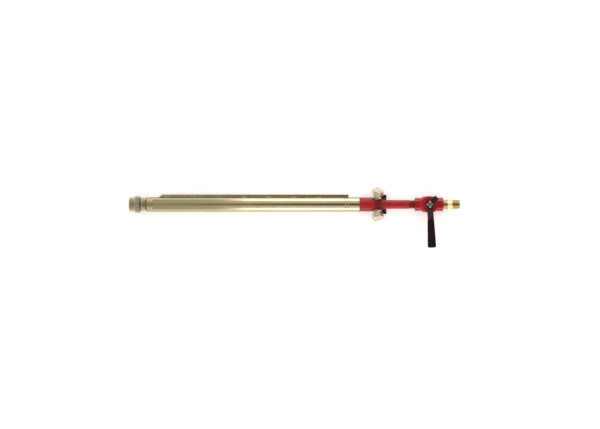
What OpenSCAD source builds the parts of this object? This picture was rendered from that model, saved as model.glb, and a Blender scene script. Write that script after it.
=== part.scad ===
// Watering wand with a quarter-turn shut-off valve.
// X runs along the water path: the hose end's face is at X = 0 and the outlet is at -X.
// The valve stem stands up along +Z, and the wand lies on the valve's foot and the rose cap's rim.
// Millimetres throughout.

/* [Barrel] */
// Length of the barrel tube
barrel_len = 505; // [300:5:900]
// Outside diameter of the barrel tube
barrel_od = 33.7; // [28:0.1:42]
// Wall of the barrel tube
barrel_wall = 1.5; // [1:0.1:2.2]
// Depth of the rolled grooves that hold the tube on its two spigots
crimp_depth = 0.8; // [0.4:0.1:1.1]
// Width of one rolled groove
crimp_w = 2.4; // [1.6:0.1:3]
// Distance between the two rolled grooves at each end
crimp_pitch = 7; // [5:0.5:9]
// Distance from the barrel's valve end to the nearer rolled groove
crimp_from_collar = 27.5; // [12:0.5:30]
// Distance from the barrel's outlet end to the nearer rolled groove
crimp_from_outlet = 5; // [4:0.5:10]

/* [Side rail] */
// Length of the rail along the barrel
rail_len = 452; // [150:1:460]
// How far the rail stands off the barrel
rail_h = 6.9; // [4:0.1:12]
// Thickness of the rail
rail_w = 6; // [3:0.5:10]
// Distance from the barrel's valve end to the rail's square end
rail_setback = 25.5; // [5:0.5:40]

/* [Outlet] */
// Length of the bush's bare neck between the barrel and its flange
neck_len = 10; // [8:0.5:16]
// Diameter of that neck
neck_d = 30.4; // [26:0.1:32]
// Thickness of the bush's flange
flange_t = 4.6; // [3:0.1:8]
// How far the bush's flange stands out past the cap's thread
flange_lip = 2.3; // [1:0.1:4]
// Length of the rose cap
cap_len = 25.5; // [22:0.5:40]
// Gap between the rose cap and the flange with the cap done up
cap_gap = 1.8; // [1:0.1:4]
// Wall of the rose cap outside its thread
cap_wall = 2.7; // [2:0.1:5]
// Rounding of the rose cap's outer edge
cap_round = 4.5; // [1:0.1:5]
// How far the fluted rim stands out from the cap's body, at least
rim_step = 2.8; // [1:0.1:6]
// Width of the rose cap's fluted rim
rim_w = 10.5; // [5:0.5:12]
// Number of grip flutes round the rim
flute_count = 30; // [16:1:40]
// Diameter of the thread between cap and bush
cap_thread_d = 28; // [24:0.1:29]
// Diameter of the opening in the cap's end
mouth_d = 24; // [16:0.5:25]
// Thickness of the cap's end wall
cap_end_t = 3; // [2:0.1:5]
// Thickness of the perforated disc
disc_t = 1.6; // [1:0.1:3]
// Diameter of each jet hole in the disc
jet_d = 1.8; // [1:0.1:2.4]
// Distance between rings of jet holes
jet_pitch = 3.4; // [3:0.1:3.6]
// Rings of jet holes round the centre one
jet_rings = 3; // [1:1:3]
// Thickness of the rubber gasket behind the disc
gasket_t = 2; // [1:0.1:3]

/* [Collar] */
// Length of the collar's full-diameter body
collar_len = 53; // [45:0.5:80]
// How far the collar's body stands out from the barrel
collar_step = 0.15; // [0:0.05:4]
// Length of the cone behind the body, which the side ports cross
cone_len = 5; // [3:0.5:9]
// Length of the collar's narrower nose behind the cone
nose_len = 12; // [10:0.5:16]
// How far that nose stands out from the sleeve behind it
nose_step = 1; // [0.5:0.1:2]
// Length of the spigot inside the barrel
spigot_len = 45; // [42:0.5:60]
// Diameter of the water passage through the collar and the bush
passage_d = 16; // [10:0.5:18]
// Length of the sleeve that grips the inlet pipe
sleeve_len = 12; // [11.5:0.5:18]
// Wall of that sleeve
sleeve_wall = 2.35; // [2:0.05:4]
// Depth of the pipe's socket past the sleeve
socket_extra = 4.5; // [4:0.1:6]

/* [Side ports] */
// Distance from the collar's rear face to where the port axes meet the pipe axis
port_back = 18.6; // [16:0.1:22]
// Angle of the port axes above the horizontal
port_tilt = 30; // [10:1:32]
// Lean of the port axes towards the valve
port_lean = 15; // [0:1:20]
// Diameter of the port stub
stub_d = 12.6; // [10:0.1:12.8]
// Distance from the pipe axis to the hex cap's open end
cap_hex_start = 26.5; // [26.5:0.1:34]
// Length of the hex cap
cap_hex_len = 14; // [9:0.1:16]
// Size of the hex cap across its flats
cap_hex_af = 24; // [19:0.5:25]

/* [Inlet pipe and hose end] */
// Outside diameter of the inlet pipe
pipe_od = 21.3; // [20:0.1:22]
// Wall of the inlet pipe
pipe_wall = 2.65; // [1.5:0.05:3]
// Bare length of pipe between the sleeve and the valve
pipe_bare = 66.5; // [50:0.5:120]
// Depth by which the pipe is turned down for its thread at the valve
thread_relief = 0.45; // [0.2:0.05:0.8]
// Diameter over the hose thread
hose_thread_d = 20.955; // [19:0.005:27]
// Length of the hose thread
hose_thread_len = 18; // [12:0.5:24]
// Size of the nipple's hexagon across its flats
nipple_af = 22; // [22:0.5:30]
// Length of the nipple's hexagon
nipple_hex_len = 12; // [6:0.5:16]
// Bare thread between the nipple's hexagon and the valve
nipple_bare = 9.5; // [3:0.5:12]
// Bore through the nipple
nipple_bore_d = 15; // [10:0.5:15.5]

/* [Valve] */
// Length of the valve from end to end
valve_len = 68; // [66:0.5:80]
// Wall of the valve's barrel outside the end piece's nose
valve_wall = 4.3; // [3.5:0.1:8]
// Size of the valve's end hexagons across their flats
valve_af = 27; // [26:0.5:32]
// Length of the pipe side's hexagon
valve_hex_len = 13.5; // [12.5:0.5:16]
// Diameter of the ball
ball_d = 25; // [24:0.1:30]
// Bore through the ball
ball_bore_d = 15; // [10:0.5:15]
// Height of the foot under the valve's barrel
foot_h = 0.2; // [0.2:0.1:4]
// Depth of the packing's gland below the top flange
gland_deep = 6.2; // [5:0.1:9]
// Diameter of the top flange
top_flange_d = 38.6; // [36:0.1:46]

/* [Lever] */
// Distance from the stem to the lever's tip
lever_len = 102.5; // [80:0.5:140]
// Thickness of the lever's plate
lever_t = 3.5; // [2.5:0.1:5]
// Height of the step in the lever
lever_rise = 7; // [0:0.5:14]
// Width of the grip sleeve nearest the stem
grip_w0 = 15.8; // [13:0.1:20]
// Width of the grip sleeve at its tip
grip_w1 = 20.8; // [15:0.1:26]
// Thickness of the grip's vinyl
grip_skin = 2; // [1:0.1:3]
// Lean of the lever's arm in its own plane
lever_lean = 2.5; // [0:0.5:6]
// Size of the square lever nut across its flats
lever_nut_af = 12; // [10:0.5:14]

/* [Hidden] */
$fn = 96;

// Clearances: a fixed fit, a running fit, and extra length on cutting tools
fit = 0.05;
run = 0.05;
cut = 1;

// Heights over the pipe axis that decide how the wand lies
ball_r = ball_d / 2;
seat_r = ball_r + 0.5;
end_nose_r = seat_r + 2;
valve_r = end_nose_r + valve_wall;
cap_d = cap_thread_d + 2 * cap_wall;
rest_h = max(valve_r + foot_h, cap_d / 2 + rim_step, barrel_od / 2 + 1);

// Stations along X, from the hose end to the outlet
x_hex = -hose_thread_len;
x_bare = x_hex - nipple_hex_len;
x_valve = x_bare - nipple_bare;
x_stem = x_valve - valve_len / 2;
x_pipe = x_valve - valve_len;
x_sleeve = x_pipe - pipe_bare;
x_collar = x_sleeve - sleeve_len;
x_barrel = x_collar - collar_len;
x_neck = x_barrel - barrel_len;
x_flange = x_neck - neck_len;
x_seat = x_flange - flange_t;
x_cap = x_seat - cap_gap;
x_end = x_cap - cap_len;

// Barrel
barrel_r = barrel_od / 2;
barrel_ri = barrel_r - barrel_wall;
spigot_r = barrel_ri - fit;
crimps_collar = [for (i = [0, 1]) x_barrel - crimp_from_collar - i * crimp_pitch];
crimps_outlet = [for (i = [0, 1]) x_neck + crimp_from_outlet + i * crimp_pitch];
passage_r = passage_d / 2;

// O-rings: wall to groove floor for each section, and the groove's extra width
ring_section = 2;
ring_slack = 0.4;
bush_spigot_len = 28;
x_bush_ring = x_neck + bush_spigot_len - 5;
x_collar_ring = x_barrel - 10;

// Rose
thread_r = cap_thread_d / 2;
flange_d = cap_thread_d + 2 * flange_lip;
x_disc = x_end + cap_end_t;
x_gasket = x_disc + disc_t + run;
x_thread_end = x_gasket + gasket_t;
disc_r = thread_r - 0.1;
gasket_ri = jet_rings * jet_pitch + jet_d / 2 + 0.3;
flute_r = 1.3;
flute_depth = 0.8;
rim_slope = 3;

// Collar and pipe
collar_od = barrel_od + 2 * collar_step;
sleeve_d = pipe_od + 2 * sleeve_wall;
nose_d = sleeve_d + 2 * nose_step;
pipe_thread_d = pipe_od - 2 * thread_relief;
pipe_r = pipe_od / 2;
pipe_ri = pipe_r - pipe_wall;
socket_r = pipe_r + fit;
x_socket = x_collar - socket_extra;
pipe_ring_section = 1.6;
x_pipe_ring = x_collar - 1.6;
thread_engage = 12;
x_pipe_thread = x_pipe - 11.5;
pipe_thread_r = pipe_thread_d / 2;
hose_thread_r = hose_thread_d / 2;

// Side ports, measured along each port's axis from the pipe axis
x_port = x_collar - port_back;
stub_r = stub_d / 2;
stub_bore_r = 3.5;
stub_start = (passage_r + 1) / cos(port_lean) + stub_r * tan(port_lean);
port_boss_r = stub_r + 1.1;
port_boss_s = collar_od / 2;
port_cap_end_t = 3;
port_seal_t = 1.6;
port_seal_s = cap_hex_start + cap_hex_len - port_cap_end_t - port_seal_t;
hex_clock = 17;

// Lock screws, standing out of the sleeve along +Y and -Y
lock_r = 4;
lock_head_r = 6.5;
x_lock = x_collar + 5.2;
lock_head_h = 8;
lock_socket_af = 6;
lock_socket_deep = 4;
lock_seat = sleeve_d / 2 + 0.4;
lock_washer_t = 1.6;

// Valve
valve_round = 14;
valve_neck_r = end_nose_r;
ball_gap = 0.08;
seat_reach = ball_r - 0.3;
seat_open = ball_r - 6;
valve_straight = seat_reach - 3.2;
split_at = seat_reach + 4.8;
body_half = split_at + 1.8;
face_gap = 0.3;
cavity_r = seat_r + fit;
x_split = x_stem + split_at;
x_nose_ring = x_split - 2.4;
foot_r = 8;

// Stem, from the ball up
stem_r = 5;
tang_w = 5;
tang_len = 9.6;
tang_z = ball_r - 3.5;
shoulder_r = 6.6;
shoulder_z0 = seat_r + 0.2;
shoulder_z1 = shoulder_z0 + 1.9;
thrust_t = 1.2;
gland_z = shoulder_z1 + thrust_t + 1.5;
flange_z = gland_z + gland_deep;
gland_r = 8;
packing_t = 3;
packing_nut_af = 17;
nut_gap = 0.2;
packing_nut_z = flange_z + nut_gap;
packing_nut_h = 5.3;
lever_z = packing_nut_z + packing_nut_h + 1.5;
stem_square = 7;
stud_r = 3;
lever_nut_h = 5.5;
stud_short = 1.5;
top_flange_t = 4;

// Lever
hub_r = 11;
arm_w = 14.6;
step_start = 13;
step_end = 28;
grip_start = 36;
grip_round = 5;
tab_angle = 45;
tab_w = 11.5;
tab_len = 24;
lug_in = 13.5;
lug_out = 17.5;
lug_drop = 5.5;
pin_r = 2;
pin_at = (lug_in + lug_out) / 2;
pin_touch = 0.15;
pin_angle = tab_angle + asin((tab_w / 2 + pin_r + pin_touch) / pin_at);
pin_z = flange_z - 3.5;
pin_top = lever_z - 2;

zinc_gold = "#b3a673";
cap_bronze = "#9c8765";
plated_hex = "#d8cbb0";
red_paint = "#b3262e";
brass = "#d6b463";
black = "#241a1f";
steel = "#b8b3a8";
white = "#eeeeea";
rubber = "#2b2b2b";

// ---- Helpers ----

// Puts children, drawn along +Z, on the pipe axis from x towards +X
module on_pipe(x) {
    translate([x, 0, 0]) rotate([0, 90, 0]) children();
}

// Plain cylinder on the pipe axis from x0 to x1
module rod(x0, x1, r) {
    on_pipe(x0) cylinder(r = r, h = x1 - x0);
}

// Solid of revolution about the pipe axis, from [x, radius] points
module lathe(points) {
    rotate([0, 90, 0]) rotate_extrude() polygon([for (p = points) [p[1], p[0]]]);
}

// Washer along +Z from z = 0
module washer(outer, inner, t) {
    difference() {
        cylinder(r = outer, h = t);
        translate([0, 0, -cut]) cylinder(r = inner, h = t + 2 * cut);
    }
}

// O-ring on the pipe axis that touches both walls of its groove
module o_ring(x, inner, outer) {
    on_pipe(x) rotate_extrude() translate([(inner + outer) / 2, 0])
        circle(r = (outer - inner) / 2, $fn = 32);
}

// Hexagon along +Z with turned chamfers at both ends, one corner along +Y
module hex_bar(h, af, bevel) {
    corner = af / sqrt(3);
    intersection() {
        rotate([0, 0, 30]) cylinder(r = corner, h = h, $fn = 6);
        rotate_extrude() polygon([
            [0, 0], [af / 2 - bevel * 0.3, 0], [corner + 0.1, bevel], [corner + 0.1, h - bevel],
            [af / 2 - bevel * 0.3, h], [0, h]
        ]);
    }
}

// Points of one side of the tube wall, dipping at each rolled groove, from x0 up to x1
function wall_points(r, stations) = [
    for (s = stations) each [
        [s - crimp_w / 2, r], [s - crimp_w / 4, r - crimp_depth],
        [s + crimp_w / 4, r - crimp_depth], [s + crimp_w / 2, r]
    ]
];

function reversed(list) = [for (i = [len(list) - 1 : -1 : 0]) list[i]];

// Annular groove cut into a spigot of radius r
module spigot_groove(x, w, r, depth) {
    on_pipe(x - w / 2) washer(r + cut, r - depth, w);
}

// Room in a spigot for the tube's rolled grooves
module crimp_grooves(stations) {
    for (s = stations) spigot_groove(s, crimp_w + 0.4, spigot_r, crimp_depth + 0.1);
}

// Puts children, drawn along +Z from the pipe axis, on a side port: side is 1 for +Y, -1 for -Y
module at_port(side) {
    translate([x_port, 0, 0]) rotate([-(90 - port_tilt) * side, 0, 0]) rotate([0, port_lean, 0]) children();
}

// Puts children, drawn along +Z from the pipe axis, on a lock screw's axis
module at_lock(side) {
    translate([x_lock, 0, 0]) rotate([-90 * side, 0, 0]) children();
}

// Puts children on the valve's stem axis
module at_stem() {
    translate([x_stem, 0, 0]) children();
}

// ---- Barrel ----

module barrel_tube() color(zinc_gold) {
    stations = concat(crimps_outlet, reversed(crimps_collar));
    lathe(concat(
        [[x_neck, barrel_r]], wall_points(barrel_r, stations), [[x_barrel, barrel_r]],
        [[x_barrel, barrel_ri]], reversed(wall_points(barrel_ri, stations)), [[x_neck, barrel_ri]]
    ));
}

module side_rail() color(zinc_gold) {
    x1 = x_barrel - rail_setback;
    x0 = x1 - rail_len;
    top = barrel_r + rail_h;
    root = barrel_r - 1.5;
    difference() {
        translate([0, 0, -rail_w / 2]) linear_extrude(rail_w)
            polygon([[x0, root], [x0, barrel_r], [x0 + rail_h * 1.3, top], [x1, top], [x1, root]]);
        rod(x0 - cut, x1 + cut, barrel_r);
    }
}

// ---- Outlet ----

module outlet_bush() color(cap_bronze) {
    spigot_end = x_neck + bush_spigot_len;
    flat_w = 4.6;
    flat_depth = 1.4;
    difference() {
        union() {
            rod(x_neck, spigot_end, spigot_r);
            rod(x_flange, x_neck, neck_d / 2);
            rod(x_seat, x_flange, flange_d / 2);
            rod(x_thread_end, x_seat, thread_r);
        }
        rod(x_thread_end - cut, spigot_end + cut, passage_r + 1);
        crimp_grooves(crimps_outlet);
        spigot_groove(x_bush_ring, ring_section + ring_slack, spigot_r, ring_section);
        for (side = [-1, 1])
            rotate([side < 0 ? 180 : 0, 0, 0])
                translate([x_flange + 2.4, -neck_d, neck_d / 2 - flat_depth])
                    cube([flat_w, 2 * neck_d, neck_d]);
    }
}

module outlet_o_ring() color(rubber) o_ring(x_bush_ring, spigot_r - ring_section, barrel_ri);

module rose_cap() color(cap_bronze) {
    rim_r = rest_h;
    body_r = cap_d / 2;
    slope_end = x_cap - rim_w;
    difference() {
        union() {
            lathe([
                [x_end + cap_round, 0], [x_end + cap_round, body_r], [slope_end - rim_slope, body_r],
                [slope_end, rim_r], [x_cap - 1, rim_r], [x_cap, rim_r - 1], [x_cap, 0]
            ]);
            rod(x_end, x_end + cap_round, body_r - cap_round);
            on_pipe(x_end + cap_round) rotate_extrude() translate([body_r - cap_round, 0])
                circle(r = cap_round);
        }
        rod(x_disc, x_cap + cut, thread_r + run);
        rod(x_end - cut, x_disc + cut, mouth_d / 2);
        for (i = [0 : flute_count - 1]) rotate([360 / flute_count * (i + 0.5), 0, 0])
            translate([0, 0, rim_r + flute_r - flute_depth])
                rod(slope_end - rim_slope, x_cap + cut, flute_r);
    }
}

module rose_disc() color(steel) {
    difference() {
        rod(x_disc + run, x_gasket, disc_r);
        for (ring = [0 : jet_rings], i = [0 : max(6 * ring - 1, 0)])
            rotate([ring == 0 ? 0 : 360 / (6 * ring) * i, 0, 0]) translate([0, 0, ring * jet_pitch])
                rod(x_disc - cut, x_gasket + cut, jet_d / 2);
    }
}

module rose_gasket() color(rubber) on_pipe(x_gasket) washer(disc_r, gasket_ri, gasket_t);

// ---- Collar ----

module port_collar() color(red_paint) {
    bevel = 0.8;
    x_nose = x_collar - nose_len;
    ring_floor = pipe_r + pipe_ring_section;
    spigot_end = x_barrel - spigot_len;
    difference() {
        union() {
            lathe([
                [x_barrel, 0], [x_barrel, collar_od / 2 - bevel], [x_barrel + bevel, collar_od / 2],
                [x_nose - cone_len, collar_od / 2], [x_nose, nose_d / 2],
                [x_collar, nose_d / 2], [x_collar, 0]
            ]);
            rod(spigot_end, x_barrel, spigot_r);
            rod(x_collar, x_sleeve, sleeve_d / 2);
            for (side = [-1, 1]) {
                at_port(side) translate([0, 0, passage_r])
                    cylinder(r = port_boss_r, h = port_boss_s - passage_r);
                at_lock(side) translate([0, 0, socket_r])
                    cylinder(r = lock_head_r - 0.4, h = lock_seat - socket_r);
            }
        }
        rod(spigot_end - cut, x_collar, passage_r);
        rod(x_socket, x_sleeve + cut, socket_r);
        on_pipe(x_pipe_ring - pipe_ring_section / 2 - 0.2)
            washer(ring_floor, pipe_ri, pipe_ring_section + 0.4);
        crimp_grooves(crimps_collar);
        spigot_groove(x_collar_ring, ring_section + ring_slack, spigot_r, ring_section);
        for (side = [-1, 1]) {
            at_port(side) cylinder(r = stub_r + fit, h = port_seal_s);
            at_lock(side) cylinder(r = lock_r + fit, h = lock_seat + cut);
            at_lock(side) translate([0, 0, lock_seat]) cylinder(r = lock_head_r - 0.3, h = lock_head_h);
        }
    }
}

module collar_o_ring() color(rubber) o_ring(x_collar_ring, spigot_r - ring_section, barrel_ri);

module port_stub(side) color(plated_hex) at_port(side) translate([0, 0, stub_start])
    washer(stub_r, stub_bore_r, port_seal_s - stub_start);

module port_cap(side) color(plated_hex) at_port(side) difference() {
    translate([0, 0, cap_hex_start]) rotate([0, 0, side * hex_clock]) hex_bar(cap_hex_len, cap_hex_af, 1.2);
    translate([0, 0, cap_hex_start - cut])
        cylinder(r = stub_r + fit, h = cap_hex_len - port_cap_end_t + cut);
}

module port_seal(side) color(rubber) at_port(side) translate([0, 0, port_seal_s])
    cylinder(r = stub_r, h = port_seal_t);

module lock_screw(side) color(black) at_lock(side) {
    head_z = lock_seat + lock_washer_t;
    difference() {
        union() {
            translate([0, 0, socket_r]) cylinder(r = lock_r, h = head_z - socket_r);
            translate([0, 0, head_z]) cylinder(r = lock_head_r, h = lock_head_h);
        }
        translate([0, 0, head_z + lock_head_h - lock_socket_deep])
            cylinder(r = lock_socket_af / sqrt(3), h = lock_socket_deep + cut, $fn = 6);
    }
}

module lock_washer(side) color(black) at_lock(side) translate([0, 0, lock_seat])
    washer(lock_head_r - 0.5, lock_r + fit, lock_washer_t);

// ---- Inlet pipe and hose end ----

module inlet_pipe() color(red_paint) {
    difference() {
        lathe([
            [x_socket + 0.5, 0], [x_socket + 0.5, pipe_r], [x_pipe_thread - 1, pipe_r],
            [x_pipe_thread, pipe_thread_r], [x_pipe + thread_engage - 0.5, pipe_thread_r],
            [x_pipe + thread_engage - 0.5, 0]
        ]);
        rod(x_socket - cut, x_pipe + thread_engage + cut, pipe_ri);
    }
}

module pipe_o_ring() color(rubber) o_ring(x_pipe_ring, pipe_r, pipe_r + pipe_ring_section);

module hose_nipple() color(brass) {
    inner = x_valve - thread_engage + 0.5;
    difference() {
        union() {
            rod(x_hex - 0.5, 0, hose_thread_r);
            on_pipe(x_bare) rotate([0, 0, 30]) hex_bar(nipple_hex_len, nipple_af, 1.2);
            rod(inner, x_bare + 0.5, pipe_thread_r);
        }
        rod(inner - cut, cut, nipple_bore_d / 2);
    }
}

// ---- Valve ----

// Slice of the valve's round-shouldered barrel, from x0 to x1 as seen from the stem
module valve_barrel(x0, x1) {
    at_stem() rotate([0, 90, 0]) rotate_extrude() intersection() {
        union() {
            translate([0, -valve_straight]) square([valve_r, 2 * valve_straight]);
            for (s = [-1, 1]) translate([valve_r - valve_round, s * valve_straight])
                circle(r = valve_round);
        }
        translate([0, x0]) square([valve_r, x1 - x0]);
    }
}

module valve_body() color(red_paint) {
    difference() {
        union() {
            valve_barrel(-body_half, split_at);
            rod(x_pipe + valve_hex_len - 1, x_stem, valve_neck_r);
            on_pipe(x_pipe) hex_bar(valve_hex_len, valve_af, 1.6);
            at_stem() cylinder(r = gland_r + 3.6, h = flange_z);
            at_stem() translate([0, 0, flange_z - top_flange_t])
                cylinder(d = top_flange_d, h = top_flange_t);
            at_stem() translate([0, 0, -rest_h]) cylinder(r = foot_r, h = rest_h);
        }
        rod(x_pipe - cut, x_pipe + thread_engage, pipe_thread_r + fit);
        rod(x_pipe, x_stem, passage_r);
        rod(x_stem - seat_reach, x_split + cut, cavity_r);
        rod(x_stem + seat_reach, x_split + cut, end_nose_r + fit);
        at_stem() {
            cylinder(r = shoulder_r + 0.4, h = shoulder_z1 + thrust_t);
            cylinder(r = stem_r + run, h = flange_z + cut);
            translate([0, 0, gland_z]) cylinder(r = gland_r + fit, h = flange_z);
            for (side = [-1, 1]) rotate([0, 0, side * pin_angle]) translate([pin_at, 0, pin_z])
                cylinder(r = pin_r, h = flange_z, $fn = 32);
        }
    }
}

module valve_end_piece() color(red_paint) {
    x_nose = x_stem + seat_reach;
    x_shoulder = x_stem + body_half - 0.5;
    difference() {
        union() {
            rod(x_nose, x_shoulder, end_nose_r);
            valve_barrel(split_at + face_gap, body_half);
            on_pipe(x_shoulder) hex_bar(x_valve - x_shoulder, valve_af + 1, 1.6);
        }
        rod(x_nose - cut, x_valve, passage_r);
        rod(x_valve - thread_engage, x_valve + cut, pipe_thread_r + fit);
        spigot_groove(x_nose_ring, pipe_ring_section + 0.3, end_nose_r, pipe_ring_section);
    }
}

module body_o_ring() color(rubber) o_ring(x_nose_ring, end_nose_r - pipe_ring_section, end_nose_r + fit);

// Seat ring on one side of the ball: side is 1 for the hose side, -1 for the outlet side
module seat(side) color(white) at_stem() difference() {
    rotate([0, 90 * side, 0]) translate([0, 0, seat_open])
        washer(seat_r, passage_r, seat_reach - seat_open);
    sphere(r = ball_r + ball_gap);
}

module ball() color(steel) at_stem() difference() {
    sphere(r = ball_r);
    rotate([90, 0, 0]) translate([0, 0, -ball_d]) cylinder(d = ball_bore_d, h = 2 * ball_d);
    translate([-ball_d, -tang_w / 2, tang_z]) cube([2 * ball_d, tang_w, ball_d]);
}

module stem() color(steel) at_stem() {
    top = lever_z + lever_t;
    union() {
        translate([-tang_len / 2, -tang_w / 2 + run, tang_z + 0.2])
            cube([tang_len, tang_w - 2 * run, shoulder_z1 - tang_z - 0.2]);
        translate([0, 0, shoulder_z0]) cylinder(r = shoulder_r, h = shoulder_z1 - shoulder_z0);
        translate([0, 0, shoulder_z0]) cylinder(r = stem_r, h = lever_z - shoulder_z0);
        translate([0, 0, lever_z]) rotate([0, 0, 45]) linear_extrude(lever_t)
            square(stem_square, center = true);
        translate([0, 0, lever_z]) cylinder(r = stud_r, h = lever_t + lever_nut_h - stud_short);
    }
}

module thrust_washer() color(white) at_stem() translate([0, 0, shoulder_z1 + run])
    washer(shoulder_r + 0.3, stem_r + run, thrust_t - run);

module packing_ring() color(white) at_stem() translate([0, 0, gland_z])
    washer(gland_r, stem_r + run, packing_t);

module packing_nut() color(brass) at_stem() difference() {
    union() {
        translate([0, 0, gland_z + packing_t])
            cylinder(r = gland_r, h = packing_nut_z - gland_z - packing_t + 0.5);
        translate([0, 0, packing_nut_z]) hex_bar(packing_nut_h, packing_nut_af, 1);
    }
    cylinder(r = stem_r + run, h = lever_z);
}

module stop_pins() color(steel) at_stem() for (side = [-1, 1])
    rotate([0, 0, side * pin_angle]) translate([pin_at, 0, pin_z])
        cylinder(r = pin_r, h = pin_top - pin_z, $fn = 32);

// ---- Lever ----

// Outline along +X that widens from w0 at d0 to w1 at d1, with round tip corners
module taper(d0, d1, w0, w1, corner) {
    half = w1 / 2 - corner;
    polygon([[d0, -w0 / 2], [d1 - corner, -w1 / 2], [d1 - corner, w1 / 2], [d0, w0 / 2]]);
    translate([d1 - corner - 0.01, -half]) square([corner + 0.01, 2 * half]);
    for (s = [-1, 1]) translate([d1 - corner, s * half]) circle(r = corner, $fn = 48);
}

// Side view of the stepped arm, [distance from the stem, height]
module arm_side(d1) {
    high = lever_z + lever_rise;
    polygon([
        [0, lever_z], [step_start, lever_z], [step_end, high], [d1, high], [d1, high + lever_t],
        [step_end - 0.7, high + lever_t], [step_start - 0.7, lever_z + lever_t], [0, lever_z + lever_t]
    ]);
}

// The arm points along -Y with the valve shut
module along_arm() {
    rotate([0, 0, lever_lean - 90]) children();
}

// Width of the lever's plate inside the grip
function plate_w(grip_w) = grip_w - 2 * grip_skin + 1;

module arm_plate() {
    d1 = lever_len - grip_skin;
    intersection() {
        translate([0, 0, lever_z - cut]) linear_extrude(lever_rise + lever_t + 2 * cut) {
            translate([0, -arm_w / 2]) square([grip_start, arm_w]);
            taper(grip_start - 0.01, d1, plate_w(grip_w0), plate_w(grip_w1), grip_round - 1);
        }
        translate([0, grip_w1, 0]) rotate([90, 0, 0]) linear_extrude(2 * grip_w1) arm_side(d1);
    }
}

module lever() color(black) at_stem() {
    difference() {
        union() {
            translate([0, 0, lever_z]) cylinder(r = hub_r, h = lever_t);
            along_arm() arm_plate();
            rotate([0, 0, tab_angle]) {
                translate([0, -tab_w / 2, lever_z]) cube([tab_len, tab_w, lever_t]);
                translate([lug_in, -tab_w / 2, lever_z - lug_drop])
                    cube([lug_out - lug_in, tab_w, lug_drop + 0.5]);
            }
        }
        translate([0, 0, lever_z - cut]) rotate([0, 0, 45]) linear_extrude(lever_t + 2 * cut)
            square(stem_square + 2 * fit, center = true);
    }
}

module lever_sleeve() color(black) at_stem() along_arm() {
    high = lever_z + lever_rise;
    difference() {
        translate([0, 0, high - grip_skin]) linear_extrude(lever_t + 2 * grip_skin)
            taper(grip_start, lever_len, grip_w0, grip_w1, grip_round);
        arm_plate();
    }
}

module lever_nut() color(plated_hex) at_stem() translate([0, 0, lever_z + lever_t]) difference() {
    rotate([0, 0, 45]) linear_extrude(lever_nut_h) square(lever_nut_af, center = true);
    translate([0, 0, -cut]) cylinder(r = stud_r + fit, h = lever_nut_h + 2 * cut);
}

barrel_tube();
side_rail();
outlet_bush();
outlet_o_ring();
rose_cap();
rose_disc();
rose_gasket();
port_collar();
collar_o_ring();
port_stub(1);  // port_stub_upper
port_stub(-1);  // port_stub_lower
port_cap(1);  // port_cap_upper
port_cap(-1);  // port_cap_lower
port_seal(1);  // port_seal_upper
port_seal(-1);  // port_seal_lower
lock_screw(1);  // lock_screw_upper
lock_screw(-1);  // lock_screw_lower
lock_washer(1);  // lock_washer_upper
lock_washer(-1);  // lock_washer_lower
inlet_pipe();
pipe_o_ring();
valve_body();
valve_end_piece();
body_o_ring();
seat(-1);  // seat_outlet_side
seat(1);  // seat_inlet_side
ball();
stem();
thrust_washer();
packing_ring();
packing_nut();
stop_pins();
lever();
lever_sleeve();
lever_nut();
hose_nipple();
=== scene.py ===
"""Looks of the watering wand: finishes, turned, cast and pressed detail, studio and camera.

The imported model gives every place, with +X out of the hose end and +Z along the valve's stem. Each
sub-assembly is a class whose fields are its own sizes in millimetres. FIT is the play between
neighbours and EDGE_BREAK the width of a milled corner's rounding. Meshes are made in metres.
"""

import logging
import math
from dataclasses import dataclass
from enum import Enum
from typing import Callable, Mapping, Optional, Sequence, Union

import bmesh
import bpy
import numpy as np
from mathutils import Matrix, Vector


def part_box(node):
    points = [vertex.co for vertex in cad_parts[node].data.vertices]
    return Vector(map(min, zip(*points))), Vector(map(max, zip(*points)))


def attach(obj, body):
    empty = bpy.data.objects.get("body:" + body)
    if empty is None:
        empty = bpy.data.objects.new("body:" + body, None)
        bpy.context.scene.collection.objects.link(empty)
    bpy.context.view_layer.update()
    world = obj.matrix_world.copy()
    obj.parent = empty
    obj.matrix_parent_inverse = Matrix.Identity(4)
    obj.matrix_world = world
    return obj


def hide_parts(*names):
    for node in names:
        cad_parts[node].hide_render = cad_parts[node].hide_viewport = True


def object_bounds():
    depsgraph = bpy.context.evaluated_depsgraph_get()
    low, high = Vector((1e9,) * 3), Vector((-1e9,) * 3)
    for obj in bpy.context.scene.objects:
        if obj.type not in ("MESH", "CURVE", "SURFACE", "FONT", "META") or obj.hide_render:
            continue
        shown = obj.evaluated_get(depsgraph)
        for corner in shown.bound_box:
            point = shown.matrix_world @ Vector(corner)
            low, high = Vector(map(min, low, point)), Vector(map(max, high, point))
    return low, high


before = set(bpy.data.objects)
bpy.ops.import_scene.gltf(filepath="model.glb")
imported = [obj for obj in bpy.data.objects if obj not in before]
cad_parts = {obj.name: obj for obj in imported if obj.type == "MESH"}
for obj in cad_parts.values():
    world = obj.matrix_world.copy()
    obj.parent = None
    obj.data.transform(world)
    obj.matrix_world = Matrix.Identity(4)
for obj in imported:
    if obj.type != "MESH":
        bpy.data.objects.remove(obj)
cad_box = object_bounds()

log = logging.getLogger("watering_wand")

MM = 0.001
FULL_TURN = 2.0 * math.pi
FIT = 0.05
EDGE_BREAK = 0.22
FILLET_PIECES = 5

Colour = tuple[float, float, float, float]
Key = Union[str, int]


# ---------------------------------------------------------------- node trees


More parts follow.
